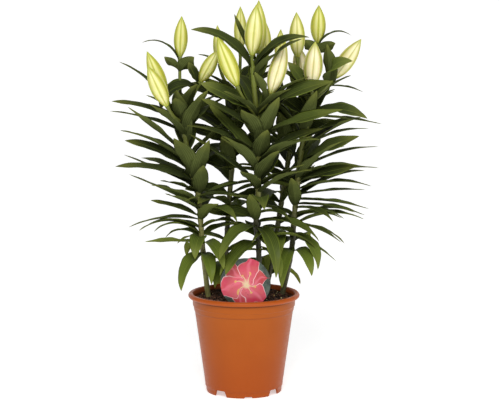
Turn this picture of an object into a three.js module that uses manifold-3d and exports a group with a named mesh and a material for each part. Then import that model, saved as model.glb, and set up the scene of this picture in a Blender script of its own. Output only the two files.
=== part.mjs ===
import * as THREE from 'three';
import { mergeGeometries, mergeVertices } from 'three/addons/utils/BufferGeometryUtils.js';
import Module from 'manifold-3d';

const wasm = await Module();
wasm.setup();

// Potted lily. Millimetres, +Z up. The origin lies on the ground under the pot's axis, the front is -Y.

// Pot
const POT_HEIGHT = 170;
const RIM_RADIUS = 95;
const RIM_THICKNESS = 8;
const COLLAR_FOOT = 140;
const COLLAR_RADIUS = 87.2;
const WALL = 1.8;
const WALL_TOP_RADIUS = 84;
const WALL_FOOT_RADIUS = 66.4;
const FOOT_RADIUS = 64.4;
const FOOT_LEDGE = 9.4;
const FOOT_WIDTH = 2.4;
const BASE_UNDERSIDE = 11.6;
const BASE_TOP = 13.4;
const POT_SIDES = 32;
const FOOT_COUNT = 4;
const FOOT_TURN = 7;
const NOTCH_HEIGHT = 10.6;
const NOTCH_TOP_WIDTH = 17;
const NOTCH_FOOT_WIDTH = 25;
const ARCH_WIDTH = 15;
const ARCH_HEIGHT = 2.6;
const DRAIN_COUNT = 6;
const DRAIN_RADIUS = 4;
const DRAIN_CIRCLE = 42;
const DRAIN_SIDES = 8;

// Soil
const SEAT_GAP = 0.3;
const HOLE_GAP = 0.35;
const SOIL_TOP = 161;
const SOIL_RINGS = [28, 58];
const LUMP_HEIGHT = 2.6;

// Bulbs
const BULB_CIRCLE = 41.5;
const BULB_RADIUS = 19.5;
const BULB_FOOT = 34;
const BULB_HEIGHT = 40;
const BULB_SIDES = 8;
const BULB_ROWS = 4;
const SCALE_DEPTH = 0.8;

// Stems, flower stalks and buds
const STATION_STEP = 44;
const STEM_SIDES = 6;
const STALK_SIDES = 5;
const STALK_ROWS = 3;
const STALK_RADIUS = 2.6;
const CUP_RADIUS = 3.8;
const STEM_FOOT_RADIUS = 4.9;
const STEM_TOP_RADIUS = 4.4;
const BUD_SIDES = 9;
const BUD_ROWS = 6;
const BUD_RIDGE = 0.05;

// Leaf blades
const STEPS = 20;
const LONG_BLADE_ROWS = 5;
const SHORT_BLADE_ROWS = 4;
const SHORT_BLADE = 139;
const BLADE_THICKNESS = 1.3;
const GOLDEN_ANGLE = 137.508;
const GUARD = 0.45;
const TURN_TRIES = [0, 11, -11, 22, -22, 33, -33, 46, -46];
const LIFT_TRIES = [0, 9, -9, 18, -18];
const LENGTH_TRIES = [1, 0.85, 0.7];

// Label
const LABEL_RADIUS = 42;
const LABEL_THICKNESS = 0.8;
const LABEL_CENTRE = [2.9, -60, 197];
const LABEL_LEAN = 4;
const STAKE_WIDTH = 16;
const STAKE_FOOT = 104;
const STAKE_TIP = 12;

// Each stem: where its bulb lies, its axis every 44 mm of height from the bulb's top on,
// its leaves from the lowest to the highest, and its buds with the points that they stand between.
const STEMS = {
  left: {
    seed: 11,
    bulbTurn: 193,
    axis: [[-41, -9], [-52, 1], [-61, 8], [-66, 6], [-70.5, 3], [-73.5, 0], [-77, -3], [-89, -4],
      [-97, -5], [-104.5, -6]],
    leaves: { count: 17, from: 227, to: 439, phase: 343, vigour: 1 },
    buds: {
      bud_left_1: { stalkFrom: 462, base: [-127, -48, 493], tip: [-158, -62, 560], width: 27 },
      bud_left_2: { stalkFrom: 465, base: [-131, -18, 507], tip: [-161, -24, 582], width: 26 },
      bud_left_3: { stalkFrom: 466, base: [-107.5, 18, 570], tip: [-104.5, 20, 639], width: 23.5 },
      bud_left_4: { stalkFrom: 464, base: [-73, 6, 529], tip: [-43, 2, 583], width: 24 },
    },
  },
  front: {
    seed: 23,
    bulbTurn: -70,
    axis: [[14.5, -39], [20, -29], [25, -19], [25, -20], [25, -20], [20.8, -22], [24, -24], [24.5, -26],
      [23.8, -28], [22.3, -31], [18, -35], [15, -39]],
    leaves: { count: 17, from: 230, to: 488, phase: 77, vigour: 1 },
    buds: {
      bud_front_1: {
        stalkFrom: 556, base: [14, -40, 576], tip: [21, -46, 660], width: 30.5, bractTurn: 60,
      },
      bud_front_2: { stalkFrom: 530, base: [25, -4, 576], tip: [25, 0, 666], width: 27 },
      bud_front_3: { stalkFrom: 474, base: [-11, -58, 527], tip: [-43, -70, 608], width: 29 },
      bud_front_4: { stalkFrom: 478, base: [45, -50, 513], tip: [69, -62, 600], width: 29 },
    },
  },
  right: {
    seed: 37,
    bulbTurn: 4,
    axis: [[42, 3], [54, 17], [66, 28], [76, 27], [83, 24], [85.5, 20], [90, 16], [93.5, 11],
      [99.5, 6], [108.5, -1], [113.5, -10]],
    leaves: { count: 16, from: 220, to: 455, phase: 158, vigour: 0.98 },
    buds: {
      bud_right_1: {
        stalkFrom: 510, base: [113, -12, 523], tip: [119, -20, 598], width: 32, bractTurn: 160,
      },
      bud_right_2: { stalkFrom: 494, base: [153, 4, 536], tip: [197, 6, 601], width: 28 },
      bud_right_3: { stalkFrom: 490, base: [91, 34, 569], tip: [89, 36, 645], width: 27 },
    },
  },
  back_left: {
    seed: 41,
    bulbTurn: 131,
    axis: [[-27.5, 31.5], [-32, 41], [-36, 48], [-33, 50], [-30, 51], [-27.5, 52], [-24, 53], [-20, 54],
      [-16, 55], [-12.5, 56], [-9, 57]],
    leaves: { count: 16, from: 190, to: 494, phase: 100, vigour: 0.96 },
    buds: {
      bud_back_left_1: { stalkFrom: 512, base: [-6, 58, 580], tip: [-6, 60, 654], width: 22 },
      bud_back_left_2: { stalkFrom: 500, base: [-41, 40, 557], tip: [-45, 38, 623], width: 19 },
      bud_back_left_3: { stalkFrom: 504, base: [38, 50, 566], tip: [35, 54, 632], width: 20 },
    },
  },
  back_right: {
    seed: 59,
    bulbTurn: 68,
    axis: [[16, 38], [28, 45], [38, 50], [46, 51], [54, 52.5], [61, 54], [68, 55], [75, 56],
      [82, 57], [89, 58]],
    leaves: { count: 16, from: 190, to: 456, phase: 40, vigour: 0.9 },
    buds: {
      bud_back_right_1: { stalkFrom: 466, base: [126, 66, 591], tip: [128, 66, 656], width: 26 },
      bud_back_right_2: { stalkFrom: 464, base: [61, 62, 556], tip: [63, 66, 615], width: 19 },
      bud_back_right_3: { stalkFrom: 462, base: [102, 62, 520], tip: [92, 66, 589], width: 27 },
    },
  },
};

// How a stem leaf changes from the foot of its stem (first value) to the top (last value)
const LEAF_LENGTHS = [92, 116, 134, 140, 134, 118];
const LEAF_WIDTHS = [24, 29, 33, 36, 39, 40];
const LEAF_LAUNCHES = [16, 24, 30, 34, 42, 52];
const LEAF_DROOPS = [108, 64, 44, 36, 34, 40];
// How much steeper, straighter, shorter and narrower the upper leaves stand on the side of the light
const LIGHT = { from: 262, full: 290, lift: 16, stiffening: 0.7, shortening: 0.25, narrowing: 0.2 };

// The bract under each flower stalk
const BRACT = { launch: 47, droop: 28, length: 88, width: 30 };
const BRACT_BELOW = 4;

// Leaves that stand out: on the stem at a height, or on a stalk at a fraction of its length
const LEAVES = {
  left: [
    { stalk: 'bud_left_3', at: 0.9, turn: 180, launch: 70, droop: 100, length: 84, width: 14 },
    { stalk: 'bud_left_3', at: 0.76, turn: 206, launch: 44, droop: 6, length: 38, width: 19, roll: 80 },
    { stalk: 'bud_left_3', at: 0.74, turn: -32, launch: 48, droop: 14, length: 40, width: 28, roll: -100 },
    { stalk: 'bud_left_2', at: 0.76, turn: 152, launch: 46, droop: 28, length: 118, width: 18 },
    { stalk: 'bud_left_4', at: 0.88, turn: 180, launch: 70, droop: 4, length: 44, width: 26, roll: -90 },
    { stalk: 'bud_left_4', at: 0.86, turn: 190, launch: 14, droop: 104, length: 84, width: 34, roll: -60 },
    { at: 467, turn: -52, launch: 68, droop: 30, length: 76, width: 34 },
    { at: 460, turn: 184, launch: 28, droop: 24, length: 126, width: 30, roll: -30 },
    { at: 444, turn: 172, launch: 24, droop: 20, length: 134, width: 22 },
    { at: 440, turn: -55, launch: 58, droop: 22, length: 108, width: 33 },
    { at: 437, turn: 218, launch: 46, droop: 16, length: 96, width: 36 },
    { at: 402, turn: 170, launch: 42, droop: 4, length: 136, width: 27, roll: 30 },
    { at: 376, turn: 184, launch: 40, droop: 32, length: 128, width: 32, roll: -50 },
    { at: 366, turn: -112, launch: 54, droop: 24, length: 112, width: 38 },
    { at: 358, turn: 182, launch: 26, droop: 32, length: 140, width: 34, roll: -30 },
    { at: 352, turn: 168, launch: 24, droop: 4, length: 138, width: 20 },
    { at: 342, turn: 215, launch: 26, droop: 16, length: 80, width: 28 },
    { at: 336, turn: -78, launch: 58, droop: 18, length: 76, width: 30 },
    { at: 318, turn: 176, launch: 26, droop: 4, length: 132, width: 22 },
    { at: 312, turn: 212, launch: 32, droop: 14, length: 76, width: 28 },
    { at: 306, turn: -35, launch: 34, droop: 94, length: 88, width: 32 },
    { at: 301, turn: 196, launch: 24, droop: 10, length: 92, width: 27, roll: -30 },
    { at: 296, turn: 178, launch: 8, droop: 34, length: 126, width: 21 },
    { at: 280, turn: -20, launch: 38, droop: 72, length: 76, width: 25 },
    { at: 268, turn: 182, launch: 44, droop: 92, length: 92, width: 23 },
    { at: 264, turn: -100, launch: 20, droop: 106, length: 74, width: 29 },
    { at: 262, turn: 160, launch: 38, droop: 92, length: 76, width: 22 },
    { at: 256, turn: 180, launch: 4, droop: 8, length: 98, width: 25, roll: 40 },
    { at: 238, turn: 236, launch: -2, droop: 92, length: 96, width: 29 },
    { at: 236, turn: -76, launch: 14, droop: 112, length: 90, width: 24 },
  ],
  front: [
    { at: 478, turn: 184, launch: 36, droop: 16, length: 108, width: 42, roll: -70 },
    { at: 474, turn: -8, launch: 38, droop: 30, length: 142, width: 42, roll: 50 },
    { at: 548, turn: 170, launch: 62, droop: 66, length: 134, width: 30, roll: -50 },
    { at: 550, turn: 8, launch: 62, droop: 74, length: 118, width: 26, roll: 40 },
    { at: 540, turn: -46, launch: 42, droop: 26, length: 132, width: 28, roll: 40 },
    { stalk: 'bud_front_4', at: 0.62, turn: -147, launch: 76, droop: 0, length: 56, width: 30, roll: 60 },
    { stalk: 'bud_front_2', at: 0.6, turn: 176, launch: 62, droop: -8, length: 96, width: 18, roll: -60 },
    { at: 446, turn: 192, launch: 36, droop: 12, length: 118, width: 34, roll: -50 },
    { at: 440, turn: -4, launch: 24, droop: 14, length: 150, width: 36, roll: 40 },
    { at: 432, turn: -126, launch: 52, droop: 24, length: 88, width: 37 },
    { at: 406, turn: 2, launch: 32, droop: 20, length: 120, width: 33, roll: 30 },
    { at: 402, turn: 176, launch: 50, droop: 6, length: 122, width: 34, roll: -50 },
    { at: 400, turn: -72, launch: 56, droop: 16, length: 74, width: 34 },
    { at: 390, turn: -20, launch: 36, droop: 14, length: 110, width: 27, roll: 20 },
    { at: 382, turn: 205, launch: 46, droop: 12, length: 92, width: 31 },
    { at: 365, turn: -58, launch: 52, droop: 24, length: 86, width: 34 },
    { at: 360, turn: 184, launch: 38, droop: 4, length: 144, width: 28, roll: -20 },
    { at: 356, turn: -22, launch: 32, droop: 14, length: 92, width: 29 },
    { at: 348, turn: -120, launch: 44, droop: 26, length: 74, width: 29 },
    { at: 330, turn: 214, launch: 22, droop: 20, length: 60, width: 22 },
    { at: 326, turn: -86, launch: 24, droop: 46, length: 152, width: 30 },
    { at: 308, turn: -12, launch: 24, droop: 84, length: 68, width: 27 },
    { at: 300, turn: 186, launch: 16, droop: 22, length: 92, width: 32, roll: -70 },
    { at: 294, turn: -14, launch: 12, droop: 66, length: 118, width: 31, roll: 20 },
    { at: 288, turn: -130, launch: 4, droop: 68, length: 112, width: 35 },
    { at: 284, turn: -68, launch: 8, droop: 112, length: 132, width: 29 },
    { at: 262, turn: -131, launch: -8, droop: 50, length: 98, width: 38 },
    { at: 246, turn: -52, launch: 16, droop: 118, length: 86, width: 23 },
  ],
  right: [
    { at: 478, turn: -2, launch: 14, droop: 46, length: 102, width: 34, roll: 50 },
    { at: 472, turn: 2, launch: -2, droop: 10, length: 126, width: 22 },
    { stalk: 'bud_right_2', at: 0.7, turn: -4, launch: 2, droop: 28, length: 60, width: 13 },
    {
      stalk: 'bud_right_2', at: 0.7, turn: -96, sweep: 90, launch: 74, droop: 84, length: 78, width: 27,
      roll: 100,
    },
    { stalk: 'bud_right_2', at: 0.78, turn: -125, launch: 82, droop: 0, length: 68, width: 34 },
    { at: 503, turn: 205, launch: 20, droop: 85, length: 76, width: 34 },
    { at: 508, turn: 165, launch: 58, droop: 10, length: 68, width: 32, roll: -60 },
    { at: 468, turn: 168, launch: 42, droop: 12, length: 72, width: 40, roll: -60 },
    { at: 430, turn: 2, launch: 30, droop: 22, length: 108, width: 26, roll: 15 },
    { at: 416, turn: 10, launch: 30, droop: 34, length: 124, width: 20 },
    { at: 390, turn: -3, launch: 32, droop: 16, length: 112, width: 37, roll: 50 },
    { at: 378, turn: 12, launch: 28, droop: 30, length: 148, width: 20 },
    { at: 366, turn: -14, launch: 30, droop: 40, length: 110, width: 23 },
    { at: 358, turn: -10, launch: 22, droop: 14, length: 106, width: 38, roll: 50 },
    { at: 352, turn: 2, launch: 25, droop: 34, length: 150, width: 24 },
    { at: 345, turn: -8, launch: 20, droop: 38, length: 130, width: 24 },
    { at: 336, turn: 10, launch: 8, droop: 12, length: 122, width: 18 },
    { at: 328, turn: -4, launch: 0, droop: 16, length: 126, width: 24 },
    { at: 320, turn: -12, launch: 2, droop: 22, length: 122, width: 22 },
    { at: 313, turn: -38, launch: 10, droop: 50, length: 84, width: 24 },
    { at: 299, turn: -24, launch: 26, droop: 64, length: 92, width: 20 },
    { at: 293, turn: 0, launch: 28, droop: 54, length: 112, width: 20 },
    { at: 288, turn: -8, launch: -10, droop: 28, length: 90, width: 20 },
    { at: 281, turn: -4, launch: 2, droop: 52, length: 104, width: 22 },
    { at: 268, turn: -48, launch: 0, droop: 98, length: 94, width: 28 },
    { at: 263, turn: 4, launch: -20, droop: 24, length: 88, width: 18 },
    { at: 262, turn: -130, launch: 2, droop: 90, length: 64, width: 26 },
    { at: 242, turn: -104, launch: 4, droop: 94, length: 106, width: 26 },
  ],
  back_left: [
    { at: 512, turn: 170, launch: 66, droop: 60, length: 98, width: 28 },
    { at: 510, turn: 60, launch: 48, droop: 52, length: 98, width: 30 },
    { at: 486, turn: 176, launch: 30, droop: 20, length: 96, width: 38, roll: -60 },
    { at: 452, turn: 192, launch: 32, droop: 14, length: 92, width: 38, roll: -60 },
    { at: 446, turn: -8, launch: 34, droop: 20, length: 84, width: 36, roll: 60 },
    { at: 434, turn: 174, launch: 40, droop: 16, length: 84, width: 38, roll: -60 },
    { at: 414, turn: 178, launch: 30, droop: 16, length: 96, width: 38, roll: -60 },
    { at: 404, turn: 6, launch: 34, droop: 14, length: 80, width: 34, roll: 60 },
    { at: 372, turn: 186, launch: 28, droop: 22, length: 84, width: 36, roll: -60 },
    { at: 330, turn: 174, launch: 20, droop: 30, length: 80, width: 34, roll: -50 },
    { at: 318, turn: 2, launch: 24, droop: 26, length: 74, width: 30, roll: 50 },
  ],
  back_right: [
    { stalk: 'bud_back_right_1', at: 0.94, turn: 2, launch: 64, droop: 104, length: 72, width: 14 },
    {
      stalk: 'bud_back_right_1', at: 0.82, turn: -32, launch: 44, droop: 30, length: 44, width: 26,
      roll: -90,
    },
    {
      stalk: 'bud_back_right_1', at: 0.82, turn: 212, launch: 56, droop: 20, length: 38, width: 24,
      roll: 90,
    },
    { stalk: 'bud_back_right_1', at: 0.86, turn: 95, launch: 40, droop: 62, length: 58, width: 24 },
    { at: 452, turn: 178, launch: 36, droop: 20, length: 90, width: 36, roll: -60 },
    { at: 424, turn: 4, launch: 30, droop: 20, length: 92, width: 36, roll: 60 },
    { at: 404, turn: 182, launch: 32, droop: 16, length: 84, width: 34, roll: -60 },
    { at: 372, turn: 176, launch: 28, droop: 18, length: 84, width: 34, roll: -60 },
    { at: 352, turn: 2, launch: 20, droop: 20, length: 88, width: 32, roll: 60 },
    { at: 316, turn: 182, launch: 22, droop: 30, length: 78, width: 32, roll: -50 },
  ],
};

const degrees = THREE.MathUtils.degToRad;

// Repeatable random draws from 0 to 1
function seededDraws(seed) {
  const multiplier = 16807;
  const modulus = 2147483647;
  let state = seed * 7919;
  return function draw() {
    state = (state * multiplier) % modulus;
    return state / modulus;
  };
}

// Value at a fraction of a list of values that are evenly spaced
function along(values, fraction) {
  const place = THREE.MathUtils.clamp(fraction, 0, 1) * (values.length - 1);
  const low = Math.min(Math.floor(place), values.length - 2);
  return THREE.MathUtils.lerp(values[low], values[low + 1], place - low);
}

// Closed body with merged corners and no triangles that have shrunk to a line
function closeUp(geometry) {
  geometry.deleteAttribute('uv');
  geometry.deleteAttribute('normal');
  const merged = mergeVertices(geometry, 1e-4);
  const kept = [];
  const corners = merged.index.array;
  for (let i = 0; i < corners.length; i += 3) {
    const [a, b, c] = [corners[i], corners[i + 1], corners[i + 2]];
    if (a !== b && b !== c && c !== a) {
      kept.push(a, b, c);
    }
  }
  merged.setIndex(kept);
  return merged;
}

function toSolid(geometry) {
  const closed = closeUp(geometry);
  return new wasm.Manifold(new wasm.Mesh({
    numProp: 3,
    vertProperties: new Float32Array(closed.attributes.position.array),
    triVerts: new Uint32Array(closed.index.array),
  }));
}

function toGeometry(solid) {
  const mesh = solid.getMesh();
  const geometry = new THREE.BufferGeometry();
  geometry.setAttribute('position', new THREE.BufferAttribute(new Float32Array(mesh.vertProperties), 3));
  geometry.setIndex(new THREE.BufferAttribute(new Uint32Array(mesh.triVerts), 1));
  geometry.computeVertexNormals();
  return geometry;
}

// Turned body about the Z axis from a profile of [radius, height] pairs
function turned(profile, sides) {
  const points = profile.map(([radius, height]) => new THREE.Vector2(radius, height));
  const geometry = new THREE.LatheGeometry(points, sides);
  geometry.rotateX(Math.PI / 2);
  return geometry;
}

// Column of rows and sides whose surface points are placed by a function of fraction and angle
function column(sides, rows, pointed, place) {
  const geometry = new THREE.CylinderGeometry(pointed ? 0 : 1, 1, 1, sides, rows);
  const position = geometry.attributes.position;
  for (let i = 0; i < position.count; i += 1) {
    const fraction = position.getY(i) + 0.5;
    const reach = Math.hypot(position.getX(i), position.getZ(i));
    const angle = Math.atan2(position.getX(i), position.getZ(i));
    const point = place(fraction, angle, reach > 1e-6);
    position.setXYZ(i, point.x, point.y, point.z);
  }
  return geometry;
}

// Round tube of changing radius along a curve, with rings square to it or level
function tube(curve, sides, rows, radiusAt, level = false) {
  const up = new THREE.Vector3(0, -1, 0);
  return column(sides, rows, false, (fraction, angle, onRim) => {
    const centre = curve.getPoint(fraction);
    if (!onRim) {
      return centre;
    }
    const ahead = level ? new THREE.Vector3(0, 0, 1) : curve.getTangent(fraction);
    const side = new THREE.Vector3().crossVectors(up, ahead).normalize();
    const front = new THREE.Vector3().crossVectors(ahead, side);
    const radius = radiusAt(fraction);
    return centre.addScaledVector(side, radius * Math.cos(angle))
      .addScaledVector(front, radius * Math.sin(angle));
  });
}

// Pot
function potOuterRadius(height) {
  const rise = (height - BASE_TOP) / (COLLAR_FOOT - BASE_TOP);
  return THREE.MathUtils.lerp(WALL_FOOT_RADIUS, WALL_TOP_RADIUS, rise);
}

function potInnerRadius(height) {
  return potOuterRadius(height) - WALL;
}

function potProfile() {
  const rimFoot = POT_HEIGHT - RIM_THICKNESS;
  const rimMiddle = POT_HEIGHT - RIM_THICKNESS / 2;
  const mouth = potInnerRadius(POT_HEIGHT) + 0.6;
  return [
    [0, BASE_UNDERSIDE],
    [FOOT_RADIUS - FOOT_WIDTH - 0.6, BASE_UNDERSIDE],
    [FOOT_RADIUS - FOOT_WIDTH, 0],
    [FOOT_RADIUS - 0.6, 0],
    [FOOT_RADIUS, 0.8],
    [FOOT_RADIUS + 0.6, FOOT_LEDGE],
    [WALL_FOOT_RADIUS, FOOT_LEDGE + 1.2],
    [potOuterRadius(COLLAR_FOOT - 1), COLLAR_FOOT - 1],
    [potOuterRadius(COLLAR_FOOT) + 0.9, COLLAR_FOOT + 0.4],
    [COLLAR_RADIUS - 1, COLLAR_FOOT + 8],
    [COLLAR_RADIUS, COLLAR_FOOT + 9],
    [COLLAR_RADIUS + 0.8, rimFoot + 0.4],
    [RIM_RADIUS - 2.4, rimFoot],
    [RIM_RADIUS, rimMiddle - 1.2],
    [RIM_RADIUS, rimMiddle + 1.2],
    [RIM_RADIUS - 2.4, POT_HEIGHT],
    [mouth + 1, POT_HEIGHT],
    [mouth, POT_HEIGHT - 1.6],
    [potInnerRadius(BASE_TOP), BASE_TOP],
    [0, BASE_TOP],
  ];
}

// Opening cut through one side of the foot ring
function footCutter(topWidth, footWidth, height, turn) {
  const outline = new THREE.Shape();
  outline.moveTo(-footWidth / 2, -1);
  outline.lineTo(footWidth / 2, -1);
  outline.lineTo(footWidth / 2 - 1, 1);
  outline.lineTo(topWidth / 2, height);
  outline.lineTo(-topWidth / 2, height);
  outline.lineTo(-footWidth / 2 + 1, 1);
  outline.closePath();
  const cutter = new THREE.ExtrudeGeometry(outline, { depth: 20, bevelEnabled: false, steps: 1 });
  cutter.rotateX(Math.PI / 2);
  cutter.translate(0, -FOOT_RADIUS + 10, 0);
  cutter.rotateZ(degrees(turn));
  return toSolid(cutter);
}

function potSolid() {
  let pot = toSolid(turned(potProfile(), POT_SIDES));
  for (let i = 0; i < FOOT_COUNT; i += 1) {
    const footTurn = FOOT_TURN + i * 360 / FOOT_COUNT;
    const notchTurn = footTurn + 180 / FOOT_COUNT;
    pot = pot.subtract(footCutter(NOTCH_TOP_WIDTH, NOTCH_FOOT_WIDTH, NOTCH_HEIGHT, notchTurn));
    pot = pot.subtract(footCutter(ARCH_WIDTH - 4, ARCH_WIDTH, ARCH_HEIGHT, footTurn));
  }
  for (let i = 0; i < DRAIN_COUNT; i += 1) {
    const drain = new THREE.CylinderGeometry(DRAIN_RADIUS, DRAIN_RADIUS, 2 * BASE_TOP, DRAIN_SIDES);
    drain.rotateX(Math.PI / 2);
    drain.translate(DRAIN_CIRCLE, 0, BASE_TOP);
    drain.rotateZ(degrees(FOOT_TURN + i * 360 / DRAIN_COUNT));
    pot = pot.subtract(toSolid(drain));
  }
  return pot;
}

// Bulbs
function bulbCentre(stem) {
  const turn = degrees(stem.bulbTurn);
  return new THREE.Vector3(BULB_CIRCLE * Math.cos(turn), BULB_CIRCLE * Math.sin(turn), 0);
}

// Radius of a bulb at a fraction of its height, from its basal plate to its neck
function bulbRadius(fraction) {
  return along([9, 17.4, BULB_RADIUS, 18.4, 14, 8.4, 5.4], fraction);
}

// Bulb surface with the relief of its overlapping scales; extra thickness gives the cavity round it
function bulbGeometry(stem, extra, relief) {
  const centre = bulbCentre(stem);
  const scaleCount = BULB_SIDES / 2;
  return column(BULB_SIDES, BULB_ROWS, false, (fraction, angle, onRim) => {
    const row = Math.round(fraction * BULB_ROWS);
    const lobes = Math.cos(scaleCount * angle + row * Math.PI);
    const radius = onRim ? bulbRadius(fraction) + extra + relief * SCALE_DEPTH * (lobes - 1) : 0;
    const height = BULB_FOOT + fraction * BULB_HEIGHT + (fraction < 0.5 ? -extra : extra);
    return new THREE.Vector3(
      centre.x + radius * Math.cos(angle),
      centre.y + radius * Math.sin(angle),
      height,
    );
  });
}

// Stems
function stemCurve(stem) {
  const foot = BULB_FOOT + BULB_HEIGHT + SEAT_GAP;
  const points = stem.axis.map(([x, y], i) => new THREE.Vector3(x, y, foot + i * STATION_STEP));
  return new THREE.CatmullRomCurve3(points, false, 'catmullrom', 0.5);
}

function stemHeightFraction(stem, height) {
  const foot = BULB_FOOT + BULB_HEIGHT + SEAT_GAP;
  return (height - foot) / (STATION_STEP * (stem.axis.length - 1));
}

function stemPoint(stem, height) {
  return stemCurve(stem).getPoint(THREE.MathUtils.clamp(stemHeightFraction(stem, height), 0, 1));
}

function stemTube(stem, extra) {
  const curve = stemCurve(stem);
  const rows = stem.axis.length - 1;
  const radiusAt = (fraction) => THREE.MathUtils.lerp(STEM_FOOT_RADIUS, STEM_TOP_RADIUS, fraction) + extra;
  return toSolid(tube(curve, STEM_SIDES, rows, radiusAt, true));
}

// Flower stalk from the stem to the cup under a bud
function stalkCurve(stem, bud) {
  const start = stemPoint(stem, bud.stalkFrom);
  const base = new THREE.Vector3(...bud.base);
  const heading = new THREE.Vector3(...bud.tip).sub(base).normalize();
  const end = base.clone().addScaledVector(heading, -SEAT_GAP);
  const bend = end.clone().addScaledVector(heading, -0.45 * start.distanceTo(end));
  return new THREE.QuadraticBezierCurve3(start, bend, end);
}

function stalkSolid(stem, bud) {
  const radiusAt = (fraction) => (fraction > 0.9 ? CUP_RADIUS : STALK_RADIUS);
  return toSolid(tube(stalkCurve(stem, bud), STALK_SIDES, STALK_ROWS, radiusAt));
}

// Buds: a closed spindle of three broad outer petals
function budGeometry(bud, extra) {
  const base = new THREE.Vector3(...bud.base);
  const tip = new THREE.Vector3(...bud.tip);
  const heading = tip.clone().sub(base);
  const length = heading.length();
  heading.normalize();
  const side = new THREE.Vector3(0, -1, 0).cross(heading).normalize();
  const front = new THREE.Vector3().crossVectors(heading, side);
  const swell = [0.28, 0.74, 0.97, 0.99, 0.84, 0.5, 0];
  return column(BUD_SIDES, BUD_ROWS, true, (fraction, angle, onRim) => {
    const reach = -extra + fraction * (length + 3 * extra);
    const centre = base.clone().addScaledVector(heading, reach);
    if (!onRim) {
      return centre;
    }
    const ridge = 1 + BUD_RIDGE * Math.cos(3 * angle + Math.PI / 2);
    const radius = bud.width / 2 * along(swell, fraction) * ridge + extra;
    return centre.addScaledVector(side, radius * Math.cos(angle))
      .addScaledVector(front, radius * Math.sin(angle));
  });
}

// Leaves
function leafRule(stem) {
  const draw = seededDraws(stem.seed);
  const leaves = [];
  const { count, from, to, phase, vigour } = stem.leaves;
  for (let i = 0; i < count; i += 1) {
    const rise = i / (count - 1);
    const spread = draw() - 0.5;
    const sway = draw() - 0.5;
    const size = draw() - 0.5;
    const hang = draw() - 0.5;
    const twist = draw() - 0.5;
    const origin = stemPoint(stem, THREE.MathUtils.lerp(from, to, rise));
    const turn = phase + i * GOLDEN_ANGLE + 14 * spread;
    const towardsLight = Math.max(-Math.sin(degrees(turn)), 0) ** 2;
    const light = towardsLight * THREE.MathUtils.smoothstep(origin.z, LIGHT.from, LIGHT.full);
    leaves.push({
      origin,
      turn,
      launch: along(LEAF_LAUNCHES, rise) + 12 * hang + LIGHT.lift * light,
      droop: along(LEAF_DROOPS, rise) * (1 + 0.3 * twist) * (1 - LIGHT.stiffening * light),
      sweep: 26 * sway,
      roll: 24 * twist,
      length: along(LEAF_LENGTHS, rise) * vigour * (1 + 0.16 * size) * (1 - LIGHT.shortening * light),
      width: along(LEAF_WIDTHS, rise) * (1 + 0.16 * hang) * (1 - LIGHT.narrowing * light),
      wave: size,
    });
  }
  return leaves;
}

function outstandingLeaves(stem, leaves) {
  return leaves.map((leaf) => {
    const origin = leaf.stalk
      ? stalkCurve(stem, stem.buds[leaf.stalk]).getPoint(leaf.at)
      : stemPoint(stem, leaf.at);
    return { sweep: 0, roll: 0, wave: 0.3, ...leaf, origin };
  });
}

// A bract on the outside of each flower stalk's foot, or turned as the bud says
function bractRule(stem) {
  return Object.values(stem.buds).map((bud) => {
    const origin = stemPoint(stem, bud.stalkFrom - BRACT_BELOW);
    const outward = Math.atan2(bud.base[1] - origin.y, bud.base[0] - origin.x);
    const turn = bud.bractTurn ?? THREE.MathUtils.radToDeg(outward);
    return { sweep: 0, roll: 0, wave: 0.7, ...BRACT, turn, origin };
  });
}

// Points down the middle of a blade, with the way ahead at each
function midribOf(leaf) {
  const point = leaf.origin.clone();
  const midrib = [];
  for (let step = 0; step <= STEPS; step += 1) {
    const reach = Math.min((step + 0.5) / STEPS, 1);
    const rise = degrees(leaf.launch - leaf.droop * reach ** 1.3);
    const turn = degrees(leaf.turn + leaf.sweep * reach);
    const ahead = new THREE.Vector3(
      Math.cos(rise) * Math.cos(turn),
      Math.cos(rise) * Math.sin(turn),
      Math.sin(rise),
    );
    const side = new THREE.Vector3(-Math.sin(turn), Math.cos(turn), 0);
    const up = new THREE.Vector3().crossVectors(ahead, side);
    const roll = degrees(leaf.roll * reach);
    const rolledSide = side.clone().multiplyScalar(Math.cos(roll)).addScaledVector(up, Math.sin(roll));
    const rolledUp = up.clone().multiplyScalar(Math.cos(roll)).addScaledVector(side, -Math.sin(roll));
    midrib.push({ point: point.clone(), side: rolledSide, up: rolledUp });
    point.addScaledVector(ahead, leaf.length / STEPS);
  }
  return midrib;
}

// Half width of a lance-shaped blade at a fraction of its length
function bladeOutline(reach) {
  return Math.sin(Math.PI * reach ** 0.75) ** 0.85;
}

function bladeRows(leaf) {
  return leaf.length < SHORT_BLADE ? SHORT_BLADE_ROWS : LONG_BLADE_ROWS;
}

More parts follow.
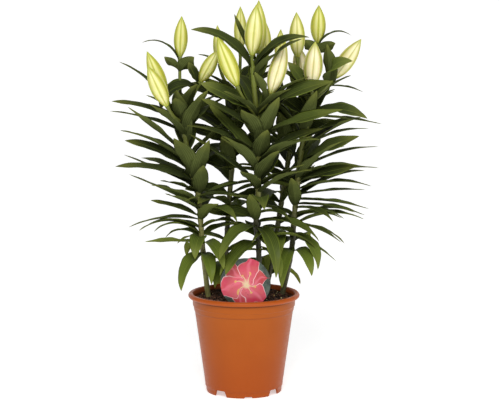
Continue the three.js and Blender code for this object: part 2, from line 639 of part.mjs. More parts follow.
// One face of a blade: two columns of a flat sheet laid along the midrib
function bladeFace(leaf, midrib, firstStep, side, extra) {
  const allRows = bladeRows(leaf);
  const rows = allRows - firstStep;
  const sheet = new THREE.PlaneGeometry(2, rows, 2, rows);
  const position = sheet.attributes.position;
  for (let i = 0; i < position.count; i += 1) {
    const across = Math.round(position.getX(i));
    const row = firstStep + Math.round(position.getY(i) + rows / 2);
    const reach = row / allRows;
    const station = midrib[row * STEPS / allRows];
    const shrunk = row === firstStep || row === allRows;
    const half = shrunk ? 0 : leaf.width / 2 * bladeOutline(reach) + 2 * extra;
    const fold = degrees(22 - 12 * reach);
    const ripple = 0.12 * Math.sin(Math.PI * (3 * reach + 2 * leaf.wave)) * across;
    const raised = half * (Math.sin(fold) + ripple);
    const thick = shrunk || across !== 0 ? 0 : side * (BLADE_THICKNESS / 2 + extra);
    const point = station.point.clone()
      .addScaledVector(station.side, Math.abs(across) * half * Math.cos(fold) * across)
      .addScaledVector(station.up, Math.abs(across) * raised + thick);
    position.setXYZ(i, point.x, point.y, point.z);
  }
  if (side > 0) {
    const corners = sheet.index.array;
    for (let i = 0; i < corners.length; i += 3) {
      [corners[i], corners[i + 1]] = [corners[i + 1], corners[i]];
    }
  }
  return sheet;
}

function bladeSolid(leaf, firstStep, extra) {
  const midrib = midribOf(leaf);
  const faces = [1, -1].map((side) => bladeFace(leaf, midrib, firstStep, side, extra));
  return toSolid(mergeGeometries(faces));
}

// Everything that a new leaf has to stay clear of. A leaf of the same stem counts from past its root only.
const placed = [];

function place(solid, owner, pastRoot = null) {
  placed.push({ solid, owner, pastRoot });
  return solid;
}

function meet(first, second) {
  const [one, two] = [first.boundingBox(), second.boundingBox()];
  const near = [0, 1, 2].every((axis) => one.min[axis] <= two.max[axis] && two.min[axis] <= one.max[axis]);
  return near && !first.intersect(second).isEmpty();
}

function isClear(leaf, owner) {
  const whole = bladeSolid(leaf, 0, GUARD);
  const pastRoot = bladeSolid(leaf, 1, GUARD);
  return placed.every((other) => {
    if (other.owner !== owner) {
      return !meet(whole, other.solid);
    }
    return other.pastRoot === null || !meet(pastRoot, other.pastRoot);
  });
}

// A leaf bent clear of what stands already, or nothing where there is no room for it
function fitLeaf(leaf, owner) {
  for (const shorter of LENGTH_TRIES) {
    for (const lift of LIFT_TRIES) {
      for (const turn of TURN_TRIES) {
        const tried = {
          ...leaf,
          turn: leaf.turn + turn,
          launch: leaf.launch + lift,
          length: leaf.length * shorter,
        };
        if (isClear(tried, owner)) {
          return place(bladeSolid(tried, 0, 0), owner, bladeSolid(tried, 1, 0));
        }
      }
    }
  }
  return null;
}

// One body from a stem and its leaves, with the small hollows between crossing leaf roots filled
function fusedWhole(solids) {
  const fused = solids.reduce((whole, solid) => whole.add(solid));
  return fused.decompose().reduce((largest, body) => (body.volume() > largest.volume() ? body : largest));
}

// Label on a stake
function labelOutline(extra) {
  const radius = LABEL_RADIUS + extra;
  const half = STAKE_WIDTH / 2 + extra;
  const open = Math.asin(half / radius);
  const outline = new THREE.Shape();
  outline.absarc(0, 0, radius, open - Math.PI / 2, Math.PI * 1.5 - open, false);
  outline.lineTo(-half, -STAKE_FOOT + STAKE_TIP);
  outline.lineTo(0, -STAKE_FOOT - extra);
  outline.lineTo(half, -STAKE_FOOT + STAKE_TIP);
  outline.closePath();
  return outline;
}

function labelSolid(extra) {
  const thickness = LABEL_THICKNESS + 2 * extra;
  const settings = { depth: thickness, bevelEnabled: false, steps: 1, curveSegments: 18 };
  const card = new THREE.ExtrudeGeometry(labelOutline(extra), settings);
  card.translate(0, 0, -thickness / 2);
  card.rotateX(Math.PI / 2 + degrees(-LABEL_LEAN));
  card.translate(...LABEL_CENTRE);
  return toSolid(card);
}

// Soil
function soilRelief(x, y) {
  const broad = Math.sin(x * 0.13 + 1.1) * Math.cos(y * 0.11 - 0.4);
  const fine = Math.sin(x * 0.41 + y * 0.23) * Math.cos(y * 0.37 - x * 0.19 + 0.8);
  const back = THREE.MathUtils.smoothstep(y, 10, 70);
  return LUMP_HEIGHT * (0.55 * broad + 0.45 * fine) + 1.6 * back;
}

function soilGeometry() {
  const foot = BASE_TOP + SEAT_GAP;
  const edge = potInnerRadius(SOIL_TOP) - SEAT_GAP;
  const profile = [
    [0, foot],
    [potInnerRadius(foot) - SEAT_GAP, foot],
    [edge, SOIL_TOP - 3],
    ...SOIL_RINGS.toReversed().map((radius) => [radius, SOIL_TOP]),
    [0, SOIL_TOP],
  ];
  const geometry = turned(profile, POT_SIDES);
  const position = geometry.attributes.position;
  for (let i = 0; i < position.count; i += 1) {
    if (position.getZ(i) > SOIL_TOP - 1) {
      position.setZ(i, SOIL_TOP + soilRelief(position.getX(i), position.getY(i)));
    }
  }
  return geometry;
}

function soilSolid() {
  let soil = toSolid(soilGeometry());
  for (const stem of Object.values(STEMS)) {
    soil = soil.subtract(toSolid(bulbGeometry(stem, HOLE_GAP, 0)));
    soil = soil.subtract(stemTube(stem, HOLE_GAP));
  }
  return soil.subtract(labelSolid(HOLE_GAP));
}

// Materials
const potPlastic = new THREE.MeshStandardMaterial({ color: 0xb5602c, roughness: 0.42, metalness: 0 });
const peat = new THREE.MeshStandardMaterial({ color: 0x30211c, roughness: 0.95, metalness: 0 });
const bulbScale = new THREE.MeshStandardMaterial({ color: 0xd9c9a3, roughness: 0.6, metalness: 0 });
const greenLeaf = new THREE.MeshStandardMaterial({ color: 0x37451f, roughness: 0.38, metalness: 0 });
const paleBud = new THREE.MeshStandardMaterial({ color: 0xd7d77c, roughness: 0.45, metalness: 0 });
const labelCard = new THREE.MeshStandardMaterial({ color: 0xd0627a, roughness: 0.35, metalness: 0 });

const pottedLily = new THREE.Group();

function addPiece(name, solid, material) {
  const mesh = new THREE.Mesh(toGeometry(solid), material.clone());
  mesh.name = name;
  pottedLily.add(mesh);
}

// What stands first: pot, soil, label, stems with their flower stalks, bulbs and buds
addPiece('pot', place(potSolid(), 'pot'), potPlastic);
addPiece('soil', place(soilSolid(), 'soil'), peat);
addPiece('label', place(labelSolid(0), 'label'), labelCard);
const bare = {};
for (const [name, stem] of Object.entries(STEMS)) {
  bare[name] = [place(stemTube(stem, 0), name)];
  for (const [budName, bud] of Object.entries(stem.buds)) {
    bare[name].push(place(stalkSolid(stem, bud), name));
    addPiece(budName, place(toSolid(budGeometry(bud, 0)), budName), paleBud);
  }
  addPiece(`bulb_${name}`, toSolid(bulbGeometry(stem, 0, 1)), bulbScale);
}

// Then the leaves, the outstanding ones first, each bent clear of the rest
const left = {};
for (const [name, stem] of Object.entries(STEMS)) {
  left[name] = [];
  for (const leaf of [...outstandingLeaves(stem, LEAVES[name]), ...bractRule(stem)]) {
    left[name].push(fitLeaf(leaf, name));
  }
}
for (const [name, stem] of Object.entries(STEMS)) {
  for (const leaf of leafRule(stem)) {
    left[name].push(fitLeaf(leaf, name));
  }
  const solids = [...bare[name], ...left[name].filter((leaf) => leaf !== null)];
  addPiece(`stem_${name}`, fusedWhole(solids), greenLeaf);
}

export default pottedLily;
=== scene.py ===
import bmesh
import bpy
import math
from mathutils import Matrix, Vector, kdtree, noise


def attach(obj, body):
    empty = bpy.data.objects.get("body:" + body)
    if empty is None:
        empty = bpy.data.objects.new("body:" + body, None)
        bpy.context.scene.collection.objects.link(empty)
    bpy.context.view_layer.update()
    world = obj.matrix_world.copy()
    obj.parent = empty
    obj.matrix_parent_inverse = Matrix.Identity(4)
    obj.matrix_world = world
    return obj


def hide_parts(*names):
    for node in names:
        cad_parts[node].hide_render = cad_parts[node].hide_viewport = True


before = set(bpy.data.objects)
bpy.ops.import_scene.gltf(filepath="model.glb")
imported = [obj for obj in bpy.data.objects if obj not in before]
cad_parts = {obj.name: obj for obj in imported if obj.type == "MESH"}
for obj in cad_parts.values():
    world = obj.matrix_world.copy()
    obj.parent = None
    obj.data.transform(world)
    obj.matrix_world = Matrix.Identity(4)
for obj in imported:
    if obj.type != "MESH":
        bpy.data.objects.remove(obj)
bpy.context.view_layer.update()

# Potted lily. Lengths are millimetres and angles are degrees. MM turns millimetres into metres.
MM = 0.001

# Repeatable draws
SEED_FACTOR = 7919
DRAW_FACTOR = 16807
DRAW_RANGE = 2147483647

# Pot
POT_HEIGHT = 170
POT_SIDES = 120
RIM_RADIUS = 95
RIM_THICKNESS = 8
RIM_FOOT = POT_HEIGHT - RIM_THICKNESS
RIM_ROUNDING = 2.4
COLLAR_FOOT = 140
COLLAR_RADIUS = 87.2
COLLAR_STEP = 0.8
WALL = 1.8
WALL_TOP_RADIUS = 84
WALL_FOOT_RADIUS = 66.4
FOOT_RADIUS = 64.4
FOOT_LEDGE = 9.4
FOOT_WIDTH = 2.4
BASE_UNDERSIDE = 11.6
BASE_TOP = 13.4
CORNER_ROUNDING = 1
SHARP_EDGE = 50

# Openings in the pot's foot and base
FOOT_COUNT = 4
FOOT_TURN = 7
NOTCH_HEIGHT = 10.6
NOTCH_TOP_WIDTH = 17
NOTCH_FOOT_WIDTH = 25
ARCH_HEIGHT = 2.6
ARCH_TOP_WIDTH = 11
ARCH_WIDTH = 15
OPENING_EDGE = 0.4
NEAREST_TURNS = 0.15
DRAIN_COUNT = 6
DRAIN_RADIUS = 4
DRAIN_CIRCLE = 42
DRAIN_SIDES = 20

# Soil
SEAT_GAP = 0.3
SOIL_TOP = 161
SOIL_SIDES = 160
SOIL_RINGS = 60
SOIL_WAIST = 88
LUMP_HEIGHT = 2.6
LUMPS_SEEN = 0.75
BACK_RISE = 1.6
ROUGH_HEIGHT = 1.3
CLOD_HEIGHT = 0.9
EDGE_SINK = 2.2

# Loose crumbs on the soil: how many, and their least and greatest radius
CRUMB_SEED = 71
CLODS = (420, (0.9, 2.6))
GRAINS = (46, (0.7, 1.5))
CRUMB_REACH = 82
CRUMB_DENT = 0.3
CRUMB_STRETCHES = ((0.7, 1.5), (0.7, 1.5), (0.6, 1.0))

# Bulbs, stems and flower stalks
BULB_FOOT = 34
BULB_HEIGHT = 40
STEM_FOOT = BULB_FOOT + BULB_HEIGHT + SEAT_GAP
STATION_STEP = 44
STEM_FOOT_RADIUS = 4.9
STEM_TOP_RADIUS = 4.4
STEM_SLIMMER = 0.2
STEM_STEPS = 150
STEM_SIDES = 20
NODE_SWELL = 0.5
NODE_LENGTH = 2.2
STALK_RADIUS = 2.6
STALK_STEPS = 24
STALK_SIDES = 14
STALK_BEND = 0.45
CUP_RADIUS = 3.8

# Buds
BUD_SIDES = 60
BUD_STEPS = 44
BUD_SWELL = (0.28, 0.74, 0.97, 0.99, 0.84, 0.5, 0.02)
BUD_RIDGE = 0.05
SEAM_DEPTH = 0.035
SEAM_WIDTH = 0.002
TIP_FROM = 0.9
TIP_BLUNTNESS = 0.167

# Where the leaves of the rule stand and how large they are, from the lowest to the highest
MIDRIB_STEPS = 20
DROOP_DELAY = 1.3
GOLDEN_ANGLE = 137.508
LEAF_LENGTHS = (92, 116, 134, 140, 134, 118)
LEAF_WIDTHS = (24, 29, 33, 36, 39, 40)
LEAF_LAUNCHES = (16, 24, 30, 34, 42, 52)
LEAF_DROOPS = (108, 64, 44, 36, 34, 40)
# How far the draws vary a leaf
VARIATION = dict(turn=14, launch=12, droop=0.3, sweep=26, roll=24, size=0.16)
# How the upper leaves stand on the side of the light
LIGHT = dict(low=262, full=290, lift=16, stiffening=0.7, shortening=0.25, narrowing=0.2)
BRACT = dict(launch=47, droop=28, length=88, width=30, sweep=0, roll=0, wave=0.7)
BRACT_BELOW = 4
# How far a leaf may be bent to stand clear of the others
TURN_TRIES = (0, 11, -11, 22, -22, 33, -33, 46, -46)
LIFT_TRIES = (0, 9, -9, 18, -18)
LENGTH_TRIES = (1, 0.85, 0.7)
TIP_MATCH = 0.05

# Leaf blades: the section from margin to margin, its fold, its waves and its thickness
BLADE_STEPS = 40
BLADE_COLUMNS = (-1, -0.8, -0.55, -0.28, -0.07, 0, 0.07, 0.28, 0.55, 0.8, 1)
BLADE_BELLY = 0.75
BLADE_FULLNESS = 0.85
BLADE_FOLD = 22
FOLD_LOST = 12
RIPPLE = 0.12
MARGIN_WAVE = 0.035
BLADE_HALF_THICKNESS = 0.35
RIB_DEPTH = 0.5
RIB_WIDTH = 0.1
OLD_LEAVES_TO = 215
YOUNG_LEAVES_FROM = 330
WELD = 1e-7

# Label
LABEL_RADIUS = 42
LABEL_THICKNESS = 0.8
LABEL_CENTRE = Vector((2.9, -60, 197))
LABEL_LEAN = 4
LABEL_STEPS = 120
STAKE_WIDTH = 16
STAKE_FOOT = 104
STAKE_TIP = 12

# Studio: floor and backdrop, then in metres each lamp's name, place, target, size and power, and the camera
FLOOR_HALF_WIDTH = 6000
FLOOR_FRONT = -4000
FLOOR_DEPTH = 5000
FLOOR_CURVE = 2000
FLOOR_CURVE_STEPS = 16
BACKDROP_HEIGHT = 5000
DAYLIGHT = 0.45
LAMPS = (
    ("key", Vector((-0.1, -2.5, 2.2)), Vector((0, 0, 0.35)), 1.3, 60),
    ("fill", Vector((1.6, -2.2, 1.0)), Vector((0, 0, 0.3)), 1.6, 14),
)
CAMERA_PLACE = (0.0104, -3.0, 0.74)
CAMERA_DOWN = 7.8
CAMERA_LENS = 128.66
SENSOR_WIDTH = 36


# Leaves placed one by one. A root is a height on the stem, or a share of the stalk of the bud named last.
LEAF_COLUMNS = ("root", "turn", "launch", "droop", "length", "width", "roll", "sweep", "stalk")
LEAF_DEFAULTS = dict(roll=0, sweep=0, stalk="", wave=0.3)


def closed_bud(stalk_from, base, tip, width, green, blush, **extra):
    """A bud from its base to its tip, with its greatest width and how green and how blushed it is."""
    return dict(stalk_from=stalk_from, base=base, tip=tip, width=width, green=green, blush=blush, **extra)


# Each stem: its leaf rule, its painted shade, its axis at even steps up from the bulb, its buds and its
# leaves placed singly
STEMS = {
    "left": dict(
        seed=11, shade=0, count=17, low=227, high=439, phase=343, vigour=1,
        axis=((-41, -9), (-52, 1), (-61, 8), (-66, 6), (-70.5, 3), (-73.5, 0), (-77, -3),
              (-89, -4), (-97, -5), (-104.5, -6)),
        buds={
            "bud_left_1": closed_bud(462, (-127, -48, 493), (-158, -62, 560), 27, 0.45, 0.1),
            "bud_left_2": closed_bud(465, (-131, -18, 507), (-161, -24, 582), 26, 0.85, 0.0),
            "bud_left_3": closed_bud(466, (-107.5, 18, 570), (-104.5, 20, 639), 23.5, 0.85, 0.0),
            "bud_left_4": closed_bud(464, (-73, 6, 529), (-43, 2, 583), 24, 0.4, 0.0),
        },
        leaves=(
            (0.9, 180, 70, 100, 84, 14, 0, 0, "bud_left_3"),
            (0.76, 206, 44, 6, 38, 19, 80, 0, "bud_left_3"),
            (0.74, -32, 48, 14, 40, 28, -100, 0, "bud_left_3"),
            (0.76, 152, 46, 28, 118, 18, 0, 0, "bud_left_2"),
            (0.88, 180, 70, 4, 44, 26, -90, 0, "bud_left_4"),
            (0.86, 190, 14, 104, 84, 34, -60, 0, "bud_left_4"), (467, -52, 68, 30, 76, 34),
            (460, 184, 28, 24, 126, 30, -30), (444, 172, 24, 20, 134, 22), (440, -55, 58, 22, 108, 33),
            (437, 218, 46, 16, 96, 36), (402, 170, 42, 4, 136, 27, 30),
            (376, 184, 40, 32, 128, 32, -50), (366, -112, 54, 24, 112, 38),
            (358, 182, 26, 32, 140, 34, -30), (352, 168, 24, 4, 138, 20), (342, 215, 26, 16, 80, 28),
            (336, -78, 58, 18, 76, 30), (318, 176, 26, 4, 132, 22), (312, 212, 32, 14, 76, 28),
            (306, -35, 34, 94, 88, 32), (301, 196, 24, 10, 92, 27, -30), (296, 178, 8, 34, 126, 21),
            (280, -20, 38, 72, 76, 25), (268, 182, 44, 92, 92, 23), (264, -100, 20, 106, 74, 29),
            (262, 160, 38, 92, 76, 22), (256, 180, 4, 8, 98, 25, 40), (238, 236, -2, 92, 96, 29),
            (236, -76, 14, 112, 90, 24),
        ),
    ),
    "front": dict(
        seed=23, shade=0.88, count=17, low=230, high=488, phase=77, vigour=1,
        axis=((14.5, -39), (20, -29), (25, -19), (25, -20), (25, -20), (20.8, -22), (24, -24),
              (24.5, -26), (23.8, -28), (22.3, -31), (18, -35), (15, -39)),
        buds={
            "bud_front_1": closed_bud(556, (14, -40, 576), (21, -46, 660), 30.5, 0.25, 0.1, bract_turn=60),
            "bud_front_2": closed_bud(530, (25, -4, 576), (25, 0, 666), 27, 0.5, 0.0),
            "bud_front_3": closed_bud(474, (-11, -58, 527), (-43, -70, 608), 29, 0.95, 0.1),
            "bud_front_4": closed_bud(478, (45, -50, 513), (69, -62, 600), 29, 0.0, 0.7),
        },
        leaves=(
            (478, 184, 36, 16, 108, 42, -70), (474, -8, 38, 30, 142, 42, 50),
            (548, 170, 62, 66, 134, 30, -50), (550, 8, 62, 74, 118, 26, 40),
            (540, -46, 42, 26, 132, 28, 40), (0.62, -147, 76, 0, 56, 30, 60, 0, "bud_front_4"),
            (0.6, 176, 62, -8, 96, 18, -60, 0, "bud_front_2"), (446, 192, 36, 12, 118, 34, -50),
            (440, -4, 24, 14, 150, 36, 40), (432, -126, 52, 24, 88, 37), (406, 2, 32, 20, 120, 33, 30),
            (402, 176, 50, 6, 122, 34, -50), (400, -72, 56, 16, 74, 34),
            (390, -20, 36, 14, 110, 27, 20), (382, 205, 46, 12, 92, 31), (365, -58, 52, 24, 86, 34),
            (360, 184, 38, 4, 144, 28, -20), (356, -22, 32, 14, 92, 29), (348, -120, 44, 26, 74, 29),
            (330, 214, 22, 20, 60, 22), (326, -86, 24, 46, 152, 30), (308, -12, 24, 84, 68, 27),
            (300, 186, 16, 22, 92, 32, -70), (294, -14, 12, 66, 118, 31, 20),
            (288, -130, 4, 68, 112, 35), (284, -68, 8, 112, 132, 29), (262, -131, -8, 50, 98, 38),
            (246, -52, 16, 118, 86, 23),
        ),
    ),
    "right": dict(
        seed=37, shade=0.74, count=16, low=220, high=455, phase=158, vigour=0.98,
        axis=((42, 3), (54, 17), (66, 28), (76, 27), (83, 24), (85.5, 20), (90, 16), (93.5, 11),
              (99.5, 6), (108.5, -1), (113.5, -10)),
        buds={
            "bud_right_1": closed_bud(510, (113, -12, 523), (119, -20, 598), 32, 0.0, 0.75, bract_turn=160),
            "bud_right_2": closed_bud(494, (153, 4, 536), (197, 6, 601), 28, 0.05, 0.6),
            "bud_right_3": closed_bud(490, (91, 34, 569), (89, 36, 645), 27, 0.2, 0.1),
        },
        leaves=(
            (478, -2, 14, 46, 102, 34, 50), (472, 2, -2, 10, 126, 22),
            (0.7, -4, 2, 28, 60, 13, 0, 0, "bud_right_2"),
            (0.7, -96, 74, 84, 78, 27, 100, 90, "bud_right_2"),
            (0.78, -125, 82, 0, 68, 34, 0, 0, "bud_right_2"), (503, 205, 20, 85, 76, 34),
            (508, 165, 58, 10, 68, 32, -60), (468, 168, 42, 12, 72, 40, -60),
            (430, 2, 30, 22, 108, 26, 15), (416, 10, 30, 34, 124, 20), (390, -3, 32, 16, 112, 37, 50),
            (378, 12, 28, 30, 148, 20), (366, -14, 30, 40, 110, 23), (358, -10, 22, 14, 106, 38, 50),
            (352, 2, 25, 34, 150, 24), (345, -8, 20, 38, 130, 24), (336, 10, 8, 12, 122, 18),
            (328, -4, 0, 16, 126, 24), (320, -12, 2, 22, 122, 22), (313, -38, 10, 50, 84, 24),
            (299, -24, 26, 64, 92, 20), (293, 0, 28, 54, 112, 20), (288, -8, -10, 28, 90, 20),
            (281, -4, 2, 52, 104, 22), (268, -48, 0, 98, 94, 28), (263, 4, -20, 24, 88, 18),
            (262, -130, 2, 90, 64, 26), (242, -104, 4, 94, 106, 26),
        ),
    ),
    "back_left": dict(
        seed=41, shade=0.8, count=16, low=190, high=494, phase=100, vigour=0.96,
        axis=((-27.5, 31.5), (-32, 41), (-36, 48), (-33, 50), (-30, 51), (-27.5, 52), (-24, 53),
              (-20, 54), (-16, 55), (-12.5, 56), (-9, 57)),
        buds={
            "bud_back_left_1": closed_bud(512, (-6, 58, 580), (-6, 60, 654), 22, 0.6, 0.0),
            "bud_back_left_2": closed_bud(500, (-41, 40, 557), (-45, 38, 623), 19, 0.6, 0.0),
            "bud_back_left_3": closed_bud(504, (38, 50, 566), (35, 54, 632), 20, 0.5, 0.0),
        },
        leaves=(
            (512, 170, 66, 60, 98, 28), (510, 60, 48, 52, 98, 30), (486, 176, 30, 20, 96, 38, -60),
            (452, 192, 32, 14, 92, 38, -60), (446, -8, 34, 20, 84, 36, 60),
            (434, 174, 40, 16, 84, 38, -60), (414, 178, 30, 16, 96, 38, -60),
            (404, 6, 34, 14, 80, 34, 60), (372, 186, 28, 22, 84, 36, -60),
            (330, 174, 20, 30, 80, 34, -50), (318, 2, 24, 26, 74, 30, 50),
        ),
    ),
    "back_right": dict(
        seed=59, shade=0.8, count=16, low=190, high=456, phase=40, vigour=0.9,
        axis=((16, 38), (28, 45), (38, 50), (46, 51), (54, 52.5), (61, 54), (68, 55), (75, 56),
              (82, 57), (89, 58)),
        buds={
            "bud_back_right_1": closed_bud(466, (126, 66, 591), (128, 66, 656), 26, 1.0, 0.0),
            "bud_back_right_2": closed_bud(464, (61, 62, 556), (63, 66, 615), 19, 0.5, 0.0),
            "bud_back_right_3": closed_bud(462, (102, 62, 520), (92, 66, 589), 27, 0.0, 0.9),
        },
        leaves=(
            (0.94, 2, 64, 104, 72, 14, 0, 0, "bud_back_right_1"),
            (0.82, -32, 44, 30, 44, 26, -90, 0, "bud_back_right_1"),
            (0.82, 212, 56, 20, 38, 24, 90, 0, "bud_back_right_1"),
            (0.86, 95, 40, 62, 58, 24, 0, 0, "bud_back_right_1"), (452, 178, 36, 20, 90, 36, -60),
            (424, 4, 30, 20, 92, 36, 60), (404, 182, 32, 16, 84, 34, -60),
            (372, 176, 28, 18, 84, 34, -60), (352, 2, 20, 20, 88, 32, 60),
            (316, 182, 22, 30, 78, 32, -50),
        ),
    ),
}


# Small helpers
def seeded_draws(seed):
    """Repeatable draws from 0 to 1, the same as in the part's source."""
    state = seed * SEED_FACTOR
    while True:
        state = state * DRAW_FACTOR % DRAW_RANGE
        yield state / DRAW_RANGE


def mix(low, high, share):
    return low + (high - low) * share


def smooth(low, high, value):
    share = min(max((value - low) / (high - low), 0), 1)
    return share * share * (3 - 2 * share)


def along(values, fraction):
    place = min(max(fraction, 0), 1) * (len(values) - 1)
    low = min(int(place), len(values) - 2)
    return mix(values[low], values[low + 1], place - low)


def hermite(points, fraction):
    """Point of a uniform Catmull-Rom curve through points, numbers or vectors."""
    place = fraction * (len(points) - 1)
    low = min(int(place), len(points) - 2)
    share = place - low
    first, second = points[low], points[low + 1]
    before = points[low - 1] if low > 0 else first * 2 - second
    after = points[low + 2] if low + 2 < len(points) else second * 2 - first
    start, end = (second - before) * 0.5, (after - first) * 0.5
    square, cube = share * share, share ** 3
    return (first + start * share + (second * 3 - first * 3 - start * 2 - end) * square
            + (first * 2 - second * 2 + start + end) * cube)


def circle(count):
    return [2 * math.pi * index / count for index in range(count)]


def level_point(radius, angle, height):
    return Vector((radius * math.cos(angle), radius * math.sin(angle), height))


def beside(ahead):
    """Two directions at right angles to a heading and to each other."""
    side = Vector((0, -1, 0)).cross(ahead).normalized()
    return side, ahead.cross(side)


def round_point(middle, directions, radius, angle):
    side, front = directions
    return middle + side * radius * math.cos(angle) + front * radius * math.sin(angle)


def new_object(name, data):
    made = bpy.data.objects.new(name, data)
    bpy.context.scene.collection.objects.link(made)
    return made


def mesh_object(name, builder, materials):
    mesh = bpy.data.meshes.new(name)
    builder.to_mesh(mesh)
    builder.free()
    for material in materials:
        mesh.materials.append(material)
    for polygon in mesh.polygons:
        polygon.use_smooth = True
    return new_object(name, mesh)


def finish_piece(name, builder, materials, nodes):
    """A piece on the one body, in place of the solids that it stands for."""
    piece = mesh_object(name, builder, materials)
    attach(piece, "root")
    if nodes:
        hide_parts(*nodes)
    return piece


def new_builder():
    """Faces in the making, with a place on the surface and a tone for each corner."""
    builder = bmesh.new()
    layers = (builder.loops.layers.uv.new("surface"), builder.loops.layers.float_color.new("tone"))
    return builder, layers


def skin(builder, rows, layers=None, values=None, material_index=0, closed=True, flipped=False):
    """Faces between rows of points. A row of one point ends them in a fan."""
    rings = [[builder.verts.new(point * MM) for point in row] for row in rows]
    for low, (first, second) in enumerate(zip(rings, rings[1:])):
        count = max(len(first), len(second))
        for side in range(count if closed else count - 1):
            after = (side + 1) % count
            corners = []
            for ring, index, place in ((first, side, low), (first, after, low),
                                       (second, after, low + 1), (second, side, low + 1)):
                vert = ring[index if len(ring) > 1 else 0]
                if vert not in [corner[0] for corner in corners]:
                    column = side + 1 if index == after and len(ring) > 1 else side
                    corners.append((vert, place, column))
            if flipped:
                corners.reverse()
            face = builder.faces.new([corner[0] for corner in corners])
            face.material_index = material_index
            if layers:
                uv_layer, tone_layer = layers
                for loop, (_, place, column) in zip(face.loops, corners):
                    loop[uv_layer].uv, loop[tone_layer] = values(place, column)


# Shader helpers
class Shader:
    """One material in the making."""

    def __init__(self, name):
        self.material = bpy.data.materials.new(name)
        self.material.use_nodes = True
        self.tree = self.material.node_tree
        self.surface = self.tree.nodes["Principled BSDF"]

    def put(self, value, socket):
        if isinstance(value, bpy.types.NodeSocket):
            self.tree.links.new(value, socket)
        else:
            socket.default_value = value

    def set(self, **values):
        """Properties of the surface. Their names have _ for a space."""
        for name, value in values.items():
            self.put(value, self.surface.inputs[name.replace("_", " ")])

    def node(self, kind, *given, **settings):
        """A node with some settings, and its first inputs given in their order."""
        made = self.tree.nodes.new(kind)
        for key, value in settings.items():
            setattr(made, key, value)
        for value, socket in zip(given, made.inputs):
            self.put(value, socket)
        return made

    def math(self, operation, *given, clamp=False):
        return self.node("ShaderNodeMath", *given, operation=operation, use_clamp=clamp).outputs[0]

    def times(self, first, second):
        return self.math("MULTIPLY", first, second)

    def plus(self, first, second):
        return self.math("ADD", first, second)

    def minus(self, first, second):
        return self.math("SUBTRACT", first, second)

    def distance(self, x, y):
        return self.math("SQRT", self.plus(self.times(x, x), self.times(y, y)))

    def spread(self, value, low, high, to_low=0.0, to_high=1.0):
        """A soft step from one value at the low limit to another at the high one."""
        made = self.node("ShaderNodeMapRange", value, low, high, to_low, to_high,
                         interpolation_type="SMOOTHSTEP")
        return made.outputs[0]

    def band(self, value, low, low_full, high_full, high):
        """1 where a value lies between two soft edges, 0 outside them."""
        return self.times(self.spread(value, low, low_full), self.spread(value, high, high_full))

    def blend(self, share, first, second):
        made = self.node("ShaderNodeMix", data_type="RGBA")
        for index, given in ((0, share), (6, first), (7, second)):
            self.put(given, made.inputs[index])
        return made.outputs[2]

    def layered(self, tone, *coats):
        """A tone under thin coats of colour, each given as its mask, its strength and its colour."""
        for mask, strength, colour in coats:
            tone = self.blend(self.times(mask, strength), tone, colour)
        return tone

    def noise(self, vector, scale, detail=4.0, roughness=0.55, stretch=None):
        if stretch:
            mapping = self.node("ShaderNodeMapping", vector)
            mapping.inputs["Scale"].default_value = stretch
            vector = mapping.outputs[0]
        made = self.node("ShaderNodeTexNoise")
        for name, given in (("Vector", vector), ("Scale", scale), ("Detail", detail),
                            ("Roughness", roughness)):
            self.put(given, made.inputs[name])
        return made.outputs["Fac"]

    def object_place(self):
        return self.node("ShaderNodeTexCoord").outputs["Object"]

    def uv(self):
        return self.node("ShaderNodeUVMap", uv_map="surface").outputs[0]

    def parts(self, vector):
        return self.node("ShaderNodeSeparateXYZ", vector).outputs

    def tones(self):
        colour = self.node("ShaderNodeVertexColor", layer_name="tone").outputs["Color"]
        return self.node("ShaderNodeSeparateColor", colour).outputs

    def relief(self, height, strength, distance):
        made = self.node("ShaderNodeBump")
        for name, given in (("Strength", strength), ("Distance", distance), ("Height", height)):
            self.put(given, made.inputs[name])
        self.set(Normal=made.outputs[0])


def srgb(red, green, blue):
    """Colour from its 0 to 255 values as they are seen."""
    def linear(value):
        share = value / 255
        return share / 12.92 if share <= 0.04045 else ((share + 0.055) / 1.055) ** 2.4
    return (linear(red), linear(green), linear(blue), 1.0)


def metres(level, *offsets):
    """Limits in metres around a level."""
    return [(level + offset) * MM for offset in offsets]


# Materials
def pot_plastic_material():
    """Moulded terracotta plastic, darker where shade is painted in a line right under the rim and on the
    inner wall above the soil.
    """
    shader = Shader("terracotta_plastic")
    place = shader.object_place()
    x, y, height = shader.parts(place)
    broad = shader.noise(place, 9.0, 3.0)
    low = shader.spread(height, *metres(POT_HEIGHT, 0, -POT_HEIGHT))
    rim = shader.spread(height, *metres(RIM_FOOT, 0.2, 1.2))
    specks = shader.spread(shader.noise(place, 900.0, 2.0), 0.62, 0.8)
    # Painted shade in a line under the rim's overhang.
    shade_line = shader.band(height, *metres(RIM_FOOT, -3.5, -0.8, 0.1, 0.8))
    collar_line = shader.band(height, *metres(COLLAR_FOOT, -1.5, -0.2, 0.5, 1.8))
    # Painted shade on the inner wall just above the soil.
    inside = shader.times(shader.spread(shader.distance(x, y), *metres(COLLAR_RADIUS, -0.4, -1.7)),
                          shader.spread(height, *metres(SOIL_TOP, -9, -4)))
    clay = shader.layered(
        shader.blend(shader.spread(broad, 0.3, 0.7), srgb(160, 79, 15), srgb(152, 73, 11)),
        (low, 0.5, srgb(156, 64, 8)),
        (rim, 0.5, srgb(170, 74, 22)),
        (specks, 0.18, srgb(126, 54, 18)),
        (shade_line, 0.7, srgb(76, 32, 14)),
        (collar_line, 0.3, srgb(108, 48, 18)),
        (inside, 0.5, srgb(74, 32, 16)))
    scuffs = shader.noise(place, 2.0, 5.0, stretch=(40.0, 40.0, 160.0))
    shader.set(Base_Color=clay, Specular_IOR_Level=0.18,
               Roughness=shader.spread(scuffs, 0.35, 0.75, 0.34, 0.48))
    shader.relief(shader.plus(shader.noise(place, 1500.0, 2.0), shader.times(broad, 0.4)), 0.12, 0.0003)
    return shader.material


